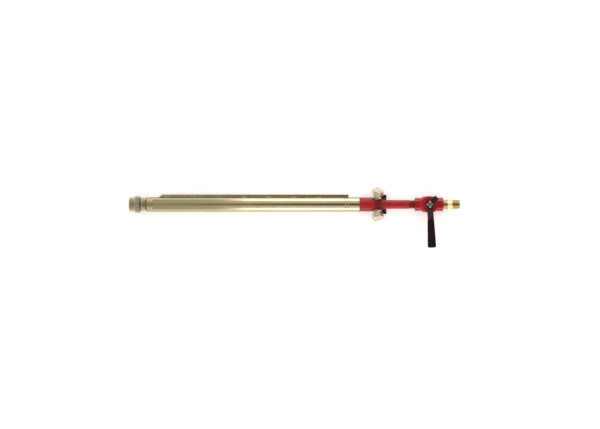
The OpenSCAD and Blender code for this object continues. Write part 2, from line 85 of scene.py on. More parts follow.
class Value:
    """A socket of a node tree. Arithmetic on it adds Math nodes."""

    def __init__(self, tree: "Tree", socket: bpy.types.NodeSocket) -> None:
        """Wraps an output socket of that tree."""
        self.tree = tree
        self.socket = socket

    def math(self, operation: str, *others: "Link") -> "Value":
        """Math node with this value as its first input."""
        return self.tree.math(operation, self, *others)

    def between(self, low: float, high: float) -> "Value":
        """Stretches the stretch from low to high over 0 to 1, clamped."""
        inputs = {0: self, 1: low, 2: high, 3: 0.0, 4: 1.0}
        return self.tree.node("ShaderNodeMapRange", {"clamp": True}, inputs)

    def __add__(self, other: "Link") -> "Value":
        """Sum."""
        return self.math("ADD", other)

    def __sub__(self, other: "Link") -> "Value":
        """Difference."""
        return self.math("SUBTRACT", other)

    def __rsub__(self, other: "Link") -> "Value":
        """Difference, with the plain number first."""
        return self.tree.math("SUBTRACT", other, self)

    def __mul__(self, other: "Link") -> "Value":
        """Product."""
        return self.math("MULTIPLY", other)

    def __truediv__(self, other: "Link") -> "Value":
        """Quotient."""
        return self.math("DIVIDE", other)

    def __mod__(self, other: "Link") -> "Value":
        """Remainder, from 0 up."""
        return self.math("FLOORED_MODULO", other)

    def __lt__(self, other: "Link") -> "Value":
        """1 where this is less, else 0."""
        return self.math("LESS_THAN", other)

    def __abs__(self) -> "Value":
        """Size without sign."""
        return self.math("ABSOLUTE")

    __radd__ = __add__
    __rmul__ = __mul__


Link = Union[Value, float, int, Sequence[float]]


class Tree:
    """A node tree under construction."""

    def __init__(self, tree: bpy.types.NodeTree) -> None:
        """Builds in that tree."""
        self.tree = tree

    def node(
        self,
        kind: str,
        settings: Optional[Mapping[str, object]] = None,
        inputs: Optional[Mapping[Key, Link]] = None,
        out: Key = 0,
    ) -> Value:
        """Adds one node.

        Args:
            kind: The node's type.
            settings: Properties, set before any input; "stops" fills a colour ramp with
                (position, colour) pairs.
            inputs: Socket name or number to a plain value or a link.
            out: Name or number of the output that is returned.

        Returns:
            The node's output.
        """
        made = self.tree.nodes.new(kind)
        for key, value in (settings or {}).items():
            if key == "stops":
                self._fill(made.color_ramp, value)
            else:
                setattr(made, key, value)
        for key, value in (inputs or {}).items():
            if isinstance(value, Value):
                self.tree.links.new(value.socket, made.inputs[key])
            else:
                made.inputs[key].default_value = value
        return Value(self, made.outputs[out])

    def math(self, operation: str, *values: Link) -> Value:
        """Math node on up to three values."""
        return self.node("ShaderNodeMath", {"operation": operation}, dict(enumerate(values)))

    def mix(self, factor: Link, first: Link, second: Link) -> Value:
        """Colour between two colours."""
        inputs = {0: factor, 6: first, 7: second}
        return self.node("ShaderNodeMix", {"data_type": "RGBA"}, inputs, 2)

    def coordinate(self, vector: Value, axis: int) -> Value:
        """One coordinate of a vector: 0 is X, 1 is Y and 2 is Z."""
        return self.node("ShaderNodeSeparateXYZ", None, {0: vector}, axis)

    @staticmethod
    def _fill(ramp: bpy.types.ColorRamp, stops: Sequence[tuple[float, Colour]]) -> None:
        """Gives a colour ramp its stops.

        Args:
            ramp: The ramp.
            stops: Its stops, as (position, colour) pairs.
        """
        while len(ramp.elements) < len(stops):
            ramp.elements.new(1.0)
        for element, (position, colour) in zip(ramp.elements, stops):
            element.position = position
            element.color = colour


class Surface(Tree):
    """Material tree round one Principled shader, read in object coordinates."""

    def __init__(self, name: str) -> None:
        """Makes the material.

        Args:
            name: The material's name.
        """
        self.material = bpy.data.materials.new(name)
        self.material.use_nodes = True
        super().__init__(self.material.node_tree)
        self.shader = self.tree.nodes["Principled BSDF"]
        self.place = self.node("ShaderNodeTexCoord", out="Object")

    def fix(self, **constants: Link) -> None:
        """Sets sockets that are the same all over; an underscore stands for a space."""
        for name, value in constants.items():
            self.shader.inputs[name.replace("_", " ")].default_value = value

    def feed(self, socket: str, value: Value) -> None:
        """Links a varying value to a socket of the shader."""
        self.tree.links.new(value.socket, self.shader.inputs[socket])

    def noise(
        self,
        size: Union[float, Sequence[float]],
        detail: float = 3.0,
        roughness: float = 0.5,
        seed: float = 0.0,
    ) -> Value:
        """Noise from 0 to 1.

        Args:
            size: Size of its features in millimetres, one number or one for each axis.
            detail: Octaves.
            roughness: Weight of the finer octaves.
            seed: Shift along the pattern, for a pattern of its own.

        Returns:
            The noise's value.
        """
        sizes = (size,) * 3 if isinstance(size, float) else size
        settings = {"vector_type": "POINT"}
        inputs = {
            "Vector": self.place,
            "Location": (seed, seed * 1.7, seed * 2.3),
            "Scale": tuple(1.0 / (s * MM) for s in sizes),
        }
        mapped = self.node("ShaderNodeMapping", settings, inputs)
        inputs = {"Vector": mapped, "Scale": 1.0, "Detail": detail, "Roughness": roughness}
        return self.node("ShaderNodeTexNoise", None, inputs)

    def bump(self, height: Value, depth: float, over: Optional[Value] = None) -> Value:
        """Normal of a height field from 0 to 1 that is depth millimetres deep, over another normal.

        Args:
            height: The field.
            depth: Its depth, in millimetres.
            over: Normal that it is laid over.

        Returns:
            The normal.
        """
        inputs: dict[Key, Link] = {"Height": height, "Distance": depth * MM, "Strength": 1.0}
        if over is not None:
            inputs["Normal"] = over
        return self.node("ShaderNodeBump", None, inputs)


# ---------------------------------------------------------------- finishes


class Grain(Enum):
    """Fine lines that making left in a metal, as feature sizes along X, Y and Z in millimetres."""

    DRAWN = (55.0, 0.5, 0.5)
    TURNED = (0.18, 7.0, 7.0)
    BLASTED = (0.25, 0.25, 0.25)
    GROUND = (0.5, 9.0, 0.5)


@dataclass(frozen=True)
class Metal:
    """Bare or plated metal: a blotched tint, grain lines, stains and handling marks, and painted shade along
    X and in gaps where given.
    """

    name: str
    tint: Colour
    second_tint: Colour
    # Colour of stains and grain lines, also used for painted shade in gaps.
    stain_and_shade: Colour
    rough: tuple[float, float]
    grain: Grain
    grain_depth: float = 0.006
    blotch: float = 16.0
    stained: float = 0.35
    rim: Colour = (1.0, 1.0, 1.0, 1)
    shade_along_x: Optional[tuple[Colour, float, float]] = None
    shaded_gaps: tuple[tuple[float, float], ...] = ()

    def shaded_tint(self, surface: Surface, tint: Value) -> Value:
        """Tint with painted shade: it turns darker past a place along X, and darker in gaps given as middle
        and half width.

        Args:
            surface: The material under construction.
            tint: Its tint so far.

        Returns:
            The aged tint.
        """
        along = surface.coordinate(surface.place, 0)
        # Painted shade: past a place along X the tint turns to a darker, duller colour.
        if self.shade_along_x:
            colour, start, end = self.shade_along_x
            tint = surface.mix(along.between(start * MM, end * MM), tint, colour)
        # Painted shade in gaps between parts, in the stain colour.
        for middle, half in self.shaded_gaps:
            inside = 1.0 - abs(along - middle * MM).between(half * 0.6 * MM, half * MM)
            tint = surface.mix(inside * 0.9, tint, self.stain_and_shade)
        return tint

    def build(self) -> bpy.types.Material:
        """Makes the material.

        Returns:
            The material.
        """
        surface = Surface(self.name)
        blotches = surface.noise(self.blotch, detail=3.0, roughness=0.55).between(0.36, 0.66)
        lines = surface.noise(self.grain.value, detail=2.0, roughness=0.6, seed=1.3)
        stains = surface.noise(5.5, detail=6.0, roughness=0.68, seed=4.1).between(0.52, 0.8)
        handling = surface.noise(24.0, detail=4.0, roughness=0.6, seed=7.7).between(0.4, 0.72)
        tint = surface.mix(blotches, self.tint, self.second_tint)
        tint = surface.mix(stains * self.stained, tint, self.stain_and_shade)
        tint = surface.mix(lines.between(0.6, 0.85) * 0.25, tint, self.stain_and_shade)
        low, high = self.rough
        surface.feed("Base Color", self.shaded_tint(surface, tint))
        surface.feed("Roughness", low + (lines * 0.45 + handling * 0.3 + stains * 0.25) * (high - low))
        soft = surface.bump(surface.noise(self.blotch * 0.6, detail=2.0, roughness=0.5, seed=2.2), 0.05)
        surface.feed("Normal", surface.bump(lines, self.grain_depth, soft))
        surface.fix(Metallic=1.0, Specular_Tint=self.rim)
        return surface.material


@dataclass(frozen=True)
class Enamel:
    """Sprayed paint: orange peel under a clear gloss, painted shade round given spots and small chips."""

    name: str
    colour: Colour
    deep: Colour
    under: Colour
    rough: tuple[float, float]
    peel: float = 1.8
    peel_depth: float = 0.012
    coat: float = 0.4
    specular: float = 0.3
    chipped: float = 0.755
    # Points where shade is painted on, the painted shade's colour and its reach, in millimetres.
    shaded_spots: tuple[tuple[float, float, float], ...] = ()
    shade_colour: Colour = (0.10, 0.007, 0.007, 1)
    shade_reach: float = 14.0

    def painted_shade(self, surface: Surface) -> Value:
        """Painted shade that darkens the paint round the shaded spots, which are points in millimetres.

        Args:
            surface: The material under construction.

        Returns:
            The painted shade, from 0 to 1.
        """
        ragged = surface.noise(3.0, detail=5.0, roughness=0.65, seed=6.1) * 0.5
        shade_amount = ragged * 0.0
        for spot in self.shaded_spots:
            inputs = {0: surface.place, 1: tuple(c * MM for c in spot)}
            away = surface.node("ShaderNodeVectorMath", {"operation": "DISTANCE"}, inputs, "Value")
            near = 1.0 - away.between(self.shade_reach * 0.35 * MM, self.shade_reach * MM)
            shade_amount = shade_amount.math("MAXIMUM", near * (0.55 + ragged))
        return shade_amount

    def build(self) -> bpy.types.Material:
        """Makes the material.

        Returns:
            The material.
        """
        surface = Surface(self.name)
        painted_shade = self.painted_shade(surface)
        tone = surface.noise(19.0, detail=3.0, roughness=0.5).between(0.35, 0.7)
        peel = surface.noise(self.peel, detail=1.5, roughness=0.4, seed=2.9)
        haze = surface.noise(7.0, detail=5.0, roughness=0.62, seed=5.3).between(0.45, 0.75)
        specks = surface.noise(1.6, detail=5.0, roughness=0.6, seed=9.1)
        chips = specks.between(self.chipped, self.chipped + 0.02)
        # Painted shade: round the shaded spots the paint turns to the shade colour and loses gloss.
        paint = surface.mix(painted_shade, surface.mix(tone, self.colour, self.deep), self.shade_colour)
        surface.feed("Base Color", surface.mix(chips, paint, self.under))
        surface.feed("Metallic", chips * 0.9)
        low, high = self.rough
        surface.feed("Roughness", low + haze * (high - low) + (chips + painted_shade) * 0.25)
        surface.feed("Coat Weight", (1.0 - chips) * (self.coat - haze * 0.2) * (1.0 - painted_shade * 0.7))
        surface.fix(Coat_Roughness=0.08, Coat_IOR=1.45, Specular_IOR_Level=self.specular)
        edge = surface.bump(1.0 - chips, 0.06)
        surface.feed("Normal", surface.bump(peel, self.peel_depth, edge))
        return surface.material


@dataclass(frozen=True)
class Polymer:
    """Vinyl, rubber or PTFE: a mottled colour with a fine pebble and scuffs."""

    name: str
    colour: Colour
    scuff: Colour
    rough: tuple[float, float]
    pebble: float = 0.6
    pebble_depth: float = 0.02
    sheen: float = 0.0
    specular: float = 0.5

    def build(self) -> bpy.types.Material:
        """Makes the material.

        Returns:
            The material.
        """
        surface = Surface(self.name)
        pebble = surface.noise(self.pebble, detail=2.0, roughness=0.5)
        scuffs = surface.noise((3.0, 14.0, 3.0), detail=5.0, roughness=0.65, seed=3.7).between(0.5, 0.78)
        surface.feed("Base Color", surface.mix(scuffs * 0.55, self.colour, self.scuff))
        low, high = self.rough
        surface.feed("Roughness", low + (scuffs * 0.6 + pebble * 0.4) * (high - low))
        surface.feed("Normal", surface.bump(pebble, self.pebble_depth))
        surface.fix(Sheen_Weight=self.sheen, Sheen_Roughness=0.4, Specular_IOR_Level=self.specular)
        return surface.material


class Finish(Enum):
    """Every finish on the wand. Each value is the recipe and a material slot name for it."""

    ZINC = (
        Metal("yellow_zinc", (0.82, 0.74, 0.50, 1), (0.77, 0.66, 0.45, 1), (0.42, 0.34, 0.20, 1),
              (0.11, 0.24), Grain.DRAWN, grain_depth=0.003, blotch=26.0, stained=0.22,
              # Painted shade: darker and duller towards the outlet end, from X -500 to -590 mm.
              rim=(0.12, 0.11, 0.08, 1), shade_along_x=((0.61, 0.53, 0.34, 1), -500.0, -590.0)),
        "zinc_tube",
    )
    RAIL = (
        Metal("brown_zinc", (0.84, 0.70, 0.55, 1), (0.74, 0.61, 0.46, 1), (0.38, 0.28, 0.18, 1),
              (0.20, 0.34), Grain.DRAWN, grain_depth=0.004, blotch=18.0, stained=0.3),
        "zinc_tube",
    )
    BRONZE = (
        Metal("bronze_plate", (0.61, 0.52, 0.37, 1), (0.49, 0.40, 0.29, 1), (0.10, 0.05, 0.035, 1),
              (0.28, 0.46), Grain.TURNED, blotch=8.0, stained=0.4,
              # Painted shade in the gaps at the cap's flange and at the end of the tube.
              shaded_gaps=((-759.5, 1.6), (-745.6, 1.2))),
        "bronze_cap",
    )
    ROSE_STEEL = (
        Metal("rose_steel", (0.62, 0.61, 0.58, 1), (0.52, 0.51, 0.47, 1), (0.30, 0.26, 0.20, 1),
              (0.25, 0.45), Grain.GROUND, grain_depth=0.005, blotch=6.0),
        "disc_steel",
    )
    RED = (
        Enamel("red_enamel", (0.41, 0.008, 0.012, 1), (0.31, 0.005, 0.008, 1), (0.55, 0.42, 0.22, 1),
               # Painted shade round the port bosses, under the caps and next to the valve.
               (0.22, 0.40), shaded_spots=((-197, 15, 8), (-197, -15, 8), (-191, 11, 9), (-191, -11, 9),
                                     (-194, 0, 15), (-113, 0, 9))),
        "red_paint",
    )
    PORT = (
        Metal("pale_plate", (0.74, 0.67, 0.53, 1), (0.60, 0.52, 0.40, 1), (0.34, 0.25, 0.15, 1),
              (0.26, 0.44), Grain.BLASTED, grain_depth=0.004, blotch=7.0, stained=0.5),
        "port_plate",
    )
    BLACK_OXIDE = (
        Metal("black_oxide", (0.12, 0.062, 0.064, 1), (0.15, 0.080, 0.080, 1), (0.18, 0.08, 0.05, 1),
              (0.28, 0.5), Grain.BLASTED, grain_depth=0.004, blotch=5.0, stained=0.3),
        "black_oxide",
    )
    BRASS = (
        Metal("turned_brass", (0.80, 0.66, 0.39, 1), (0.72, 0.57, 0.31, 1), (0.34, 0.22, 0.09, 1),
              (0.14, 0.30), Grain.TURNED, grain_depth=0.004, blotch=7.0, stained=0.34,
              rim=(0.4, 0.34, 0.22, 1)),
        "valve_brass",
    )
    STEM = (
        Metal("turned_steel", (0.56, 0.54, 0.50, 1), (0.46, 0.43, 0.38, 1), (0.25, 0.20, 0.14, 1),
              (0.22, 0.42), Grain.BLASTED, grain_depth=0.004, blotch=4.0),
        "stem_steel",
    )
    NUT = (
        Metal("nut_plate", (0.84, 0.76, 0.64, 1), (0.72, 0.63, 0.52, 1), (0.28, 0.22, 0.14, 1),
              (0.2, 0.38), Grain.BLASTED, grain_depth=0.004, blotch=4.0),
        "valve_brass",
    )
    BALL = (
        Metal("ball_chrome", (0.86, 0.87, 0.88, 1), (0.80, 0.81, 0.83, 1), (0.55, 0.54, 0.50, 1),
              (0.05, 0.12), Grain.BLASTED, grain_depth=0.001, blotch=9.0, stained=0.1),
        "ball_chrome",
    )
    LEVER = (
        Enamel("black_coat", (0.030, 0.009, 0.019, 1), (0.040, 0.014, 0.026, 1), (0.42, 0.40, 0.38, 1),
               (0.34, 0.5), peel=0.9, peel_depth=0.014, coat=0.12, specular=0.22, chipped=0.745),
        "lever_black",
    )
    VINYL = (
        Polymer("dipped_vinyl", (0.011, 0.002, 0.006, 1), (0.026, 0.008, 0.015, 1), (0.38, 0.6),
                pebble=0.5, pebble_depth=0.016, sheen=0.02, specular=0.2),
        "lever_vinyl",
    )
    RUBBER = (
        Polymer("seal_rubber", (0.022, 0.022, 0.023, 1), (0.06, 0.058, 0.055, 1), (0.55, 0.8)),
        "seal_rubber",
    )
    PTFE = (
        Polymer("white_ptfe", (0.83, 0.83, 0.80, 1), (0.68, 0.67, 0.63, 1), (0.4, 0.6),
                pebble=0.8, pebble_depth=0.01),
        "seat_ptfe",
    )

    @property
    def slot(self) -> str:
        """The finish's material slot name."""
        return self.value[1]

    def material(self) -> bpy.types.Material:
        """The finish's material, made when it is first asked for."""
        recipe = self.value[0]
        return bpy.data.materials.get(recipe.name) or recipe.build()


# ---------------------------------------------------------------- places


@dataclass(frozen=True)
class Span:
    """Box of a CAD node in millimetres."""

    low: Vector
    high: Vector

    @classmethod
    def of(cls, node: str) -> "Span":
        """Box of that node at rest."""
        low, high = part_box(node)
        return cls(low / MM, high / MM)

    @property
    def mid(self) -> Vector:
        """Its centre."""
        return (self.low + self.high) / 2.0

    @property
    def length(self) -> float:
        """Its length along the wand."""
        return self.high.x - self.low.x


ALONG_WAND = Matrix.Identity(4)
UP_FROM_AXIS = Matrix(((0, 1, 0, 0), (0, 0, 1, 0), (1, 0, 0, 0), (0, 0, 0, 1)))


def standing(x: float, tilt: float = 0.0, lean: float = 0.0) -> Matrix:
    """Place of a piece that is turned about an axis which leaves the pipe axis at x.

    Args:
        x: Where the axes meet, in millimetres.
        tilt: Turn of the piece's axis from +Z about the pipe axis, in degrees.
        lean: Lean of it towards +X, in degrees.

    Returns:
        The matrix that takes the turning axis there.
    """
    turned_about_pipe = Matrix.Rotation(math.radians(tilt), 4, "X")
    leaning = Matrix.Rotation(math.radians(lean), 4, "Y")
    return Matrix.Translation((x, 0, 0)) @ turned_about_pipe @ leaning @ UP_FROM_AXIS


# ---------------------------------------------------------------- turned shapes


class Form(Enum):
    """How a run of a turned outline departs from round."""

    ROUND = "round"
    FACETED = "faceted"
    THREADED = "threaded"
    FLUTED = "fluted"
    KNURLED = "knurled"
    FLATTED = "flatted"
    KEYED = "keyed"


@dataclass(frozen=True)
class Turn:
    """Corner of a turned outline, in millimetres, and the form of the run that starts at it."""

    x: float
    r: float
    fillet: float = 0.0
    form: Form = Form.ROUND


@dataclass(frozen=True)
class Law:
    """Radius of a formed run as a function of place, radius and angle, and how finely it is cut."""

    step: float
    radius: Callable[[float, float, np.ndarray], np.ndarray]


def soft_min(first: np.ndarray, second: np.ndarray, width: float) -> np.ndarray:
    """Lesser of two values, rounded where they cross."""
    share = np.clip(0.5 + 0.5 * (second - first) / width, 0.0, 1.0)
    return second * (1 - share) + first * share - width * share * (1 - share)


def corner_radius(sides: int, flats: float) -> float:
    """Distance from the axis to a corner of a polygon of that size across flats."""
    return flats / 2 / math.cos(math.pi / sides)


def polygon(sides: int, flats: float, turn: float = 0.0, step: float = 0.25) -> Law:
    """Bar milled to a polygon.

    Args:
        sides: Number of sides.
        flats: Size across flats.
        turn: Angle of one flat's middle, in degrees.
        step: Spacing of the rings.

    Returns:
        The law.
    """
    side = FULL_TURN / sides

    def radius(x: float, r: float, angle: np.ndarray) -> np.ndarray:
        """Radius at those angles."""
        off = (angle - math.radians(turn) + side / 2) % side - side / 2
        return soft_min(np.full_like(angle, r), flats / 2 / np.cos(off), EDGE_BREAK)

    return Law(step, radius)


def thread(major: float, pitch: float, depth: float) -> Law:
    """Right-hand thread with narrow crests and roots, cut into a bar of that major radius.

    Args:
        major: Radius of the crests.
        pitch: Rise of one turn.
        depth: Depth of the roots.

    Returns:
        The law.
    """
    crest, flank = 0.12, 0.74  # shares of half a pitch

    def radius(x: float, r: float, angle: np.ndarray) -> np.ndarray:
        """Radius at those angles."""
        phase = (x / pitch - angle / FULL_TURN) % 1.0
        rise = np.abs(2.0 * phase - 1.0)
        cut = np.clip((1.0 - rise - crest) / flank, 0.0, 1.0)
        return np.minimum(r, major - depth * cut)

    return Law(pitch / 12.0, radius)


def flutes(count: int, rim: float, cutter: float, bite: float) -> Law:
    """Scallops cut along the axis into a rim of that radius, half a step off the angle's zero.

    Args:
        count: Number of flutes.
        rim: The rim's radius.
        cutter: Radius of the round cutter.
        bite: How deep it cuts.

    Returns:
        The law.
    """
    spacing = FULL_TURN / count
    away = rim + cutter - bite

    def radius(x: float, r: float, angle: np.ndarray) -> np.ndarray:
        """Radius at those angles."""
        off = angle % spacing - spacing / 2
        cut = away * np.cos(off) - np.sqrt(np.maximum(cutter**2 - (away * np.sin(off)) ** 2, 0.0))
        return np.where(np.abs(away * np.sin(off)) < cutter, np.minimum(r, cut), r)

    return Law(0.3, radius)


def knurl(count: int, depth: float) -> Law:
    """Straight knurl of rounded ridges.

    Args:
        count: Number of ridges.
        depth: Depth of the grooves between them.

    Returns:
        The law.
    """
    roundness = 0.8

    def radius(x: float, r: float, angle: np.ndarray) -> np.ndarray:
        """Radius at those angles."""
        return r - depth * np.abs(np.sin(angle * count / 2)) ** roundness

    return Law(0.5, radius)


def two_flats(reach: float, start: float, end: float) -> Law:
    """Two spanner flats at +Z and -Z, that far from the axis, between two places on it.

    Args:
        reach: Distance of each flat from the axis.
        start: Where the flats start.
        end: Where they end.

    Returns:
        The law.
    """

    def radius(x: float, r: float, angle: np.ndarray) -> np.ndarray:
        """Radius at those angles."""
        if not start <= x <= end:
            return np.full_like(angle, r)
        return np.minimum(r, reach / np.maximum(np.abs(np.sin(angle)), 1e-6))

    return Law(0.25, radius)


def rounded(outline: Sequence[Turn]) -> list[Turn]:
    """Outline with each fillet as a short curve.

    Args:
        outline: Corners of a closed outline, or of one whose ends lie on the axis.

    Returns:
        The corners of the finer outline.
    """
    done: list[Turn] = []
    for i, corner in enumerate(outline):
        before, after = outline[i - 1], outline[(i + 1) % len(outline)]
        here = Vector((corner.x, corner.r))
        back, ahead = Vector((before.x, before.r)) - here, Vector((after.x, after.r)) - here
        if corner.fillet == 0.0 or corner.r == 0.0:
            done.append(corner)
            continue
        half = back.angle(ahead) / 2
        reach = min(corner.fillet / math.tan(half), 0.48 * back.length, 0.48 * ahead.length)
        start, end = here + back.normalized() * reach, here + ahead.normalized() * reach
        form = corner.form if corner.form is not Form.ROUND else before.form
        for k in range(FILLET_PIECES + 1):
            t = k / FILLET_PIECES
            point = start * (1 - t) ** 2 + here * 2 * t * (1 - t) + end * t**2
            done.append(Turn(point.x, point.y, 0.0, corner.form if k == FILLET_PIECES else form))
    return done


def rings(outline: Sequence[Turn], laws: Mapping[Form, Law], closed: bool) -> list[Turn]:
    """Rounded outline with its formed runs cut into fine rings.

    Args:
        outline: The outline's corners.
        laws: What each form means on this piece.
        closed: Whether the last corner joins the first.

    Returns:
        The corners, one for each ring.
    """
    fine = rounded(outline)
    done: list[Turn] = []
    count = len(fine) if closed else len(fine) - 1
    for i in range(count):
        here, after = fine[i], fine[(i + 1) % len(fine)]
        law = laws.get(here.form)
        length = math.hypot(after.x - here.x, after.r - here.r)
        cuts = max(1, math.ceil(length / law.step)) if law else 1
        leading = fine[i - 1].form if here.form is Form.ROUND and i > 0 else here.form
        done.append(Turn(here.x, here.r, 0.0, leading))
        for k in range(1, cuts):
            x = here.x + (after.x - here.x) * (k / cuts)
            r = here.r + (after.r - here.r) * (k / cuts)
            done.append(Turn(x, r, 0.0, here.form))
    if not closed:
        done.append(fine[-1])
    return done


def turned(
    outline: Sequence[Turn],
    laws: Optional[Mapping[Form, Law]] = None,
    at: Matrix = ALONG_WAND,
    segments: int = 96,
) -> bmesh.types.BMesh:
    """Solid turned about an axis.

    Args:
        outline: Corners in order, outside first. Where the first and last lie on the axis the
            solid closes there; otherwise the outline is a closed loop round a bore.
        laws: What each form means on this piece.
        at: Place of the axis, in millimetres.
        segments: Vertices round the axis.

    Returns:
        The mesh, in metres.
    """
    closed = outline[0].r > 0.0
    laws = laws or {}
    places = rings(outline, laws, closed)
    angle = np.arange(segments) * FULL_TURN / segments
    made = bmesh.new()
    rows = []
    for ring in places:
        law = laws.get(ring.form)
        radius = law.radius(ring.x, ring.r, angle) if law and ring.r > 0 else np.full(segments, ring.r)
        points = zip(radius * np.cos(angle), radius * np.sin(angle))
        rows.append([made.verts.new((at @ Vector((ring.x, y, z))) * MM) for y, z in points])
    for i in range(len(rows) if closed else len(rows) - 1):
        first, second = rows[i], rows[(i + 1) % len(rows)]
        for j in range(segments):
            k = (j + 1) % segments
            made.faces.new((first[j], first[k], second[k], second[j]))
    bmesh.ops.remove_doubles(made, verts=made.verts, dist=1e-7)
    bmesh.ops.recalc_face_normals(made, faces=made.faces)
    return made


def linked(name: str, data: bpy.types.ID) -> bpy.types.Object:
    """Object of that data, in the scene.

    Args:
        name: The object's name.
        data: Its mesh, light or camera.

    Returns:
        The object.
    """
    made = bpy.data.objects.new(name, data)
    bpy.context.scene.collection.objects.link(made)
    return made


def baked(host: bpy.types.Object) -> bmesh.types.BMesh:
    """Mesh that an object's modifiers make. The object and its own mesh are removed.

    Args:
        host: The object.

    Returns:
        The mesh, in metres.
    """
    depsgraph = bpy.context.evaluated_depsgraph_get()
    finished = bpy.data.meshes.new_from_object(host.evaluated_get(depsgraph), depsgraph=depsgraph)
    made = bmesh.new()
    made.from_mesh(finished)
    source = host.data
    bpy.data.objects.remove(host)
    for mesh in (finished, source):
        bpy.data.meshes.remove(mesh)
    return made


def merged(parts: Sequence[bmesh.types.BMesh]) -> bmesh.types.BMesh:
    """Several meshes as one.

    Args:
        parts: The meshes, which are used up.

    Returns:
        The whole.
    """
    whole = bmesh.new()
    for part in parts:
        mesh = bpy.data.meshes.new("part")
        part.to_mesh(mesh)
        part.free()
        whole.from_mesh(mesh)
        bpy.data.meshes.remove(mesh)
    return whole


def softened(node: str, voxel: float, passes: int) -> bmesh.types.BMesh:
    """Copy of a CAD node with soft edges, as a casting or a coated pressing has.

    Args:
        node: The CAD node.
        voxel: Grid of the new surface, in millimetres.
        passes: Smoothing passes.

    Returns:
        The mesh, in metres.
    """
    copy = bmesh.new()
    copy.from_mesh(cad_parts[node].data)
    bmesh.ops.remove_doubles(copy, verts=copy.verts, dist=1e-6)
    mesh = bpy.data.meshes.new("soft_copy")
    copy.to_mesh(mesh)
    copy.free()
    host = linked("soft_copy", mesh)
    remesh = host.modifiers.new("remesh", "REMESH")
    remesh.mode = "VOXEL"
    remesh.voxel_size = voxel * MM
    smooth = host.modifiers.new("smooth", "SMOOTH")
    smooth.factor = 0.5
    smooth.iterations = passes
    return baked(host)


# ---------------------------------------------------------------- geometry nodes


class Maker(Tree):
    """Geometry Nodes tree with named sizes, whose result becomes a plain mesh."""

    def __init__(self, name: str, sizes: Mapping[str, float]) -> None:
        """Makes the tree with one input for each size, in metres or as plain numbers.

        Args:
            name: The tree's name.
            sizes: Name and value of each input.
        """
        group = bpy.data.node_groups.new(name, "GeometryNodeTree")
        super().__init__(group)
        group.interface.new_socket("Geometry", in_out="OUTPUT", socket_type="NodeSocketGeometry")
        for key in sizes:
            group.interface.new_socket(key, in_out="INPUT", socket_type="NodeSocketFloat")
        self.sizes = dict(sizes)
        self.entry = group.nodes.new("NodeGroupInput")

    def size(self, name: str) -> Value:
        """One of the named sizes."""
        return Value(self, self.entry.outputs[name])

    def vector(self, x: Link, y: Link, z: Link) -> Value:
        """Vector of three values."""
        return self.node("ShaderNodeCombineXYZ", None, {0: x, 1: y, 2: z})

    def joined(self, *parts: Value) -> Value:
        """Several geometries as one.

        Args:
            parts: The geometries.

        Returns:
            The whole.
        """
        whole = self.tree.nodes.new("GeometryNodeJoinGeometry")
        for part in parts:
            self.tree.links.new(part.socket, whole.inputs[0])
        return Value(self, whole.outputs[0])

    def result(self, geometry: Value, finish: Finish) -> bmesh.types.BMesh:
        """Ends the tree and evaluates it once.

        Args:
            geometry: What the tree makes.
            finish: Its finish.

        Returns:
            The plain mesh.
        """
        real = self.node("GeometryNodeRealizeInstances", None, {0: geometry})
        inputs = {"Geometry": real, "Material": finish.material()}
        dressed = self.node("GeometryNodeSetMaterial", None, inputs)
        leave = self.tree.nodes.new("NodeGroupOutput")
        self.tree.links.new(dressed.socket, leave.inputs[0])
        host = linked(self.tree.name, bpy.data.meshes.new(self.tree.name))
        modifier = host.modifiers.new(self.tree.name, "NODES")
        modifier.node_group = self.tree
        for item in self.tree.interface.items_tree:
            if item.in_out == "INPUT":
                modifier[item.identifier] = self.sizes[item.name]
        return baked(host)


# ---------------------------------------------------------------- sub-assemblies


@dataclass
class Assembly:
    """Pieces that ride on one CAD body."""

    body: str = "wand"

    def add(
        self,
        name: str,
        mesh: bmesh.types.BMesh,
        finish: Finish,
        replaces: Sequence[str] = (),
        sharp: float = 38.0,
    ) -> None:
        """Makes a finished piece of a mesh.

        Args:
            name: The piece's name.
            mesh: Its mesh in metres, which is used up.
            finish: Its finish.
            replaces: CAD nodes that it stands for.
            sharp: Angle in degrees past which an edge stays sharp.
        """
        data = bpy.data.meshes.new(name)
        mesh.to_mesh(data)
        mesh.free()
        data.shade_smooth()
        data.set_sharp_from_angle(angle=math.radians(sharp))
        data.materials.clear()
        data.materials.append(finish.material())
        piece = linked(name, data)
        weighted = piece.modifiers.new("weighted_normals", "WEIGHTED_NORMAL")
        weighted.keep_sharp = True
        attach(piece, self.body)
        if replaces:
            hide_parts(*replaces)
        log.info("%s: %d faces, %s, on %s", name, len(data.polygons), finish.name, self.body)

    def dress(self, finish: Finish, *nodes: str) -> None:
        """Gives CAD nodes that stay a finish.

        Args:
            finish: The finish.
            nodes: The CAD nodes.
        """
        for node in nodes:
            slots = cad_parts[node].data.materials
            slots.clear()
            slots.append(finish.material())
            log.info("%s: CAD node, %s", node, finish.name)


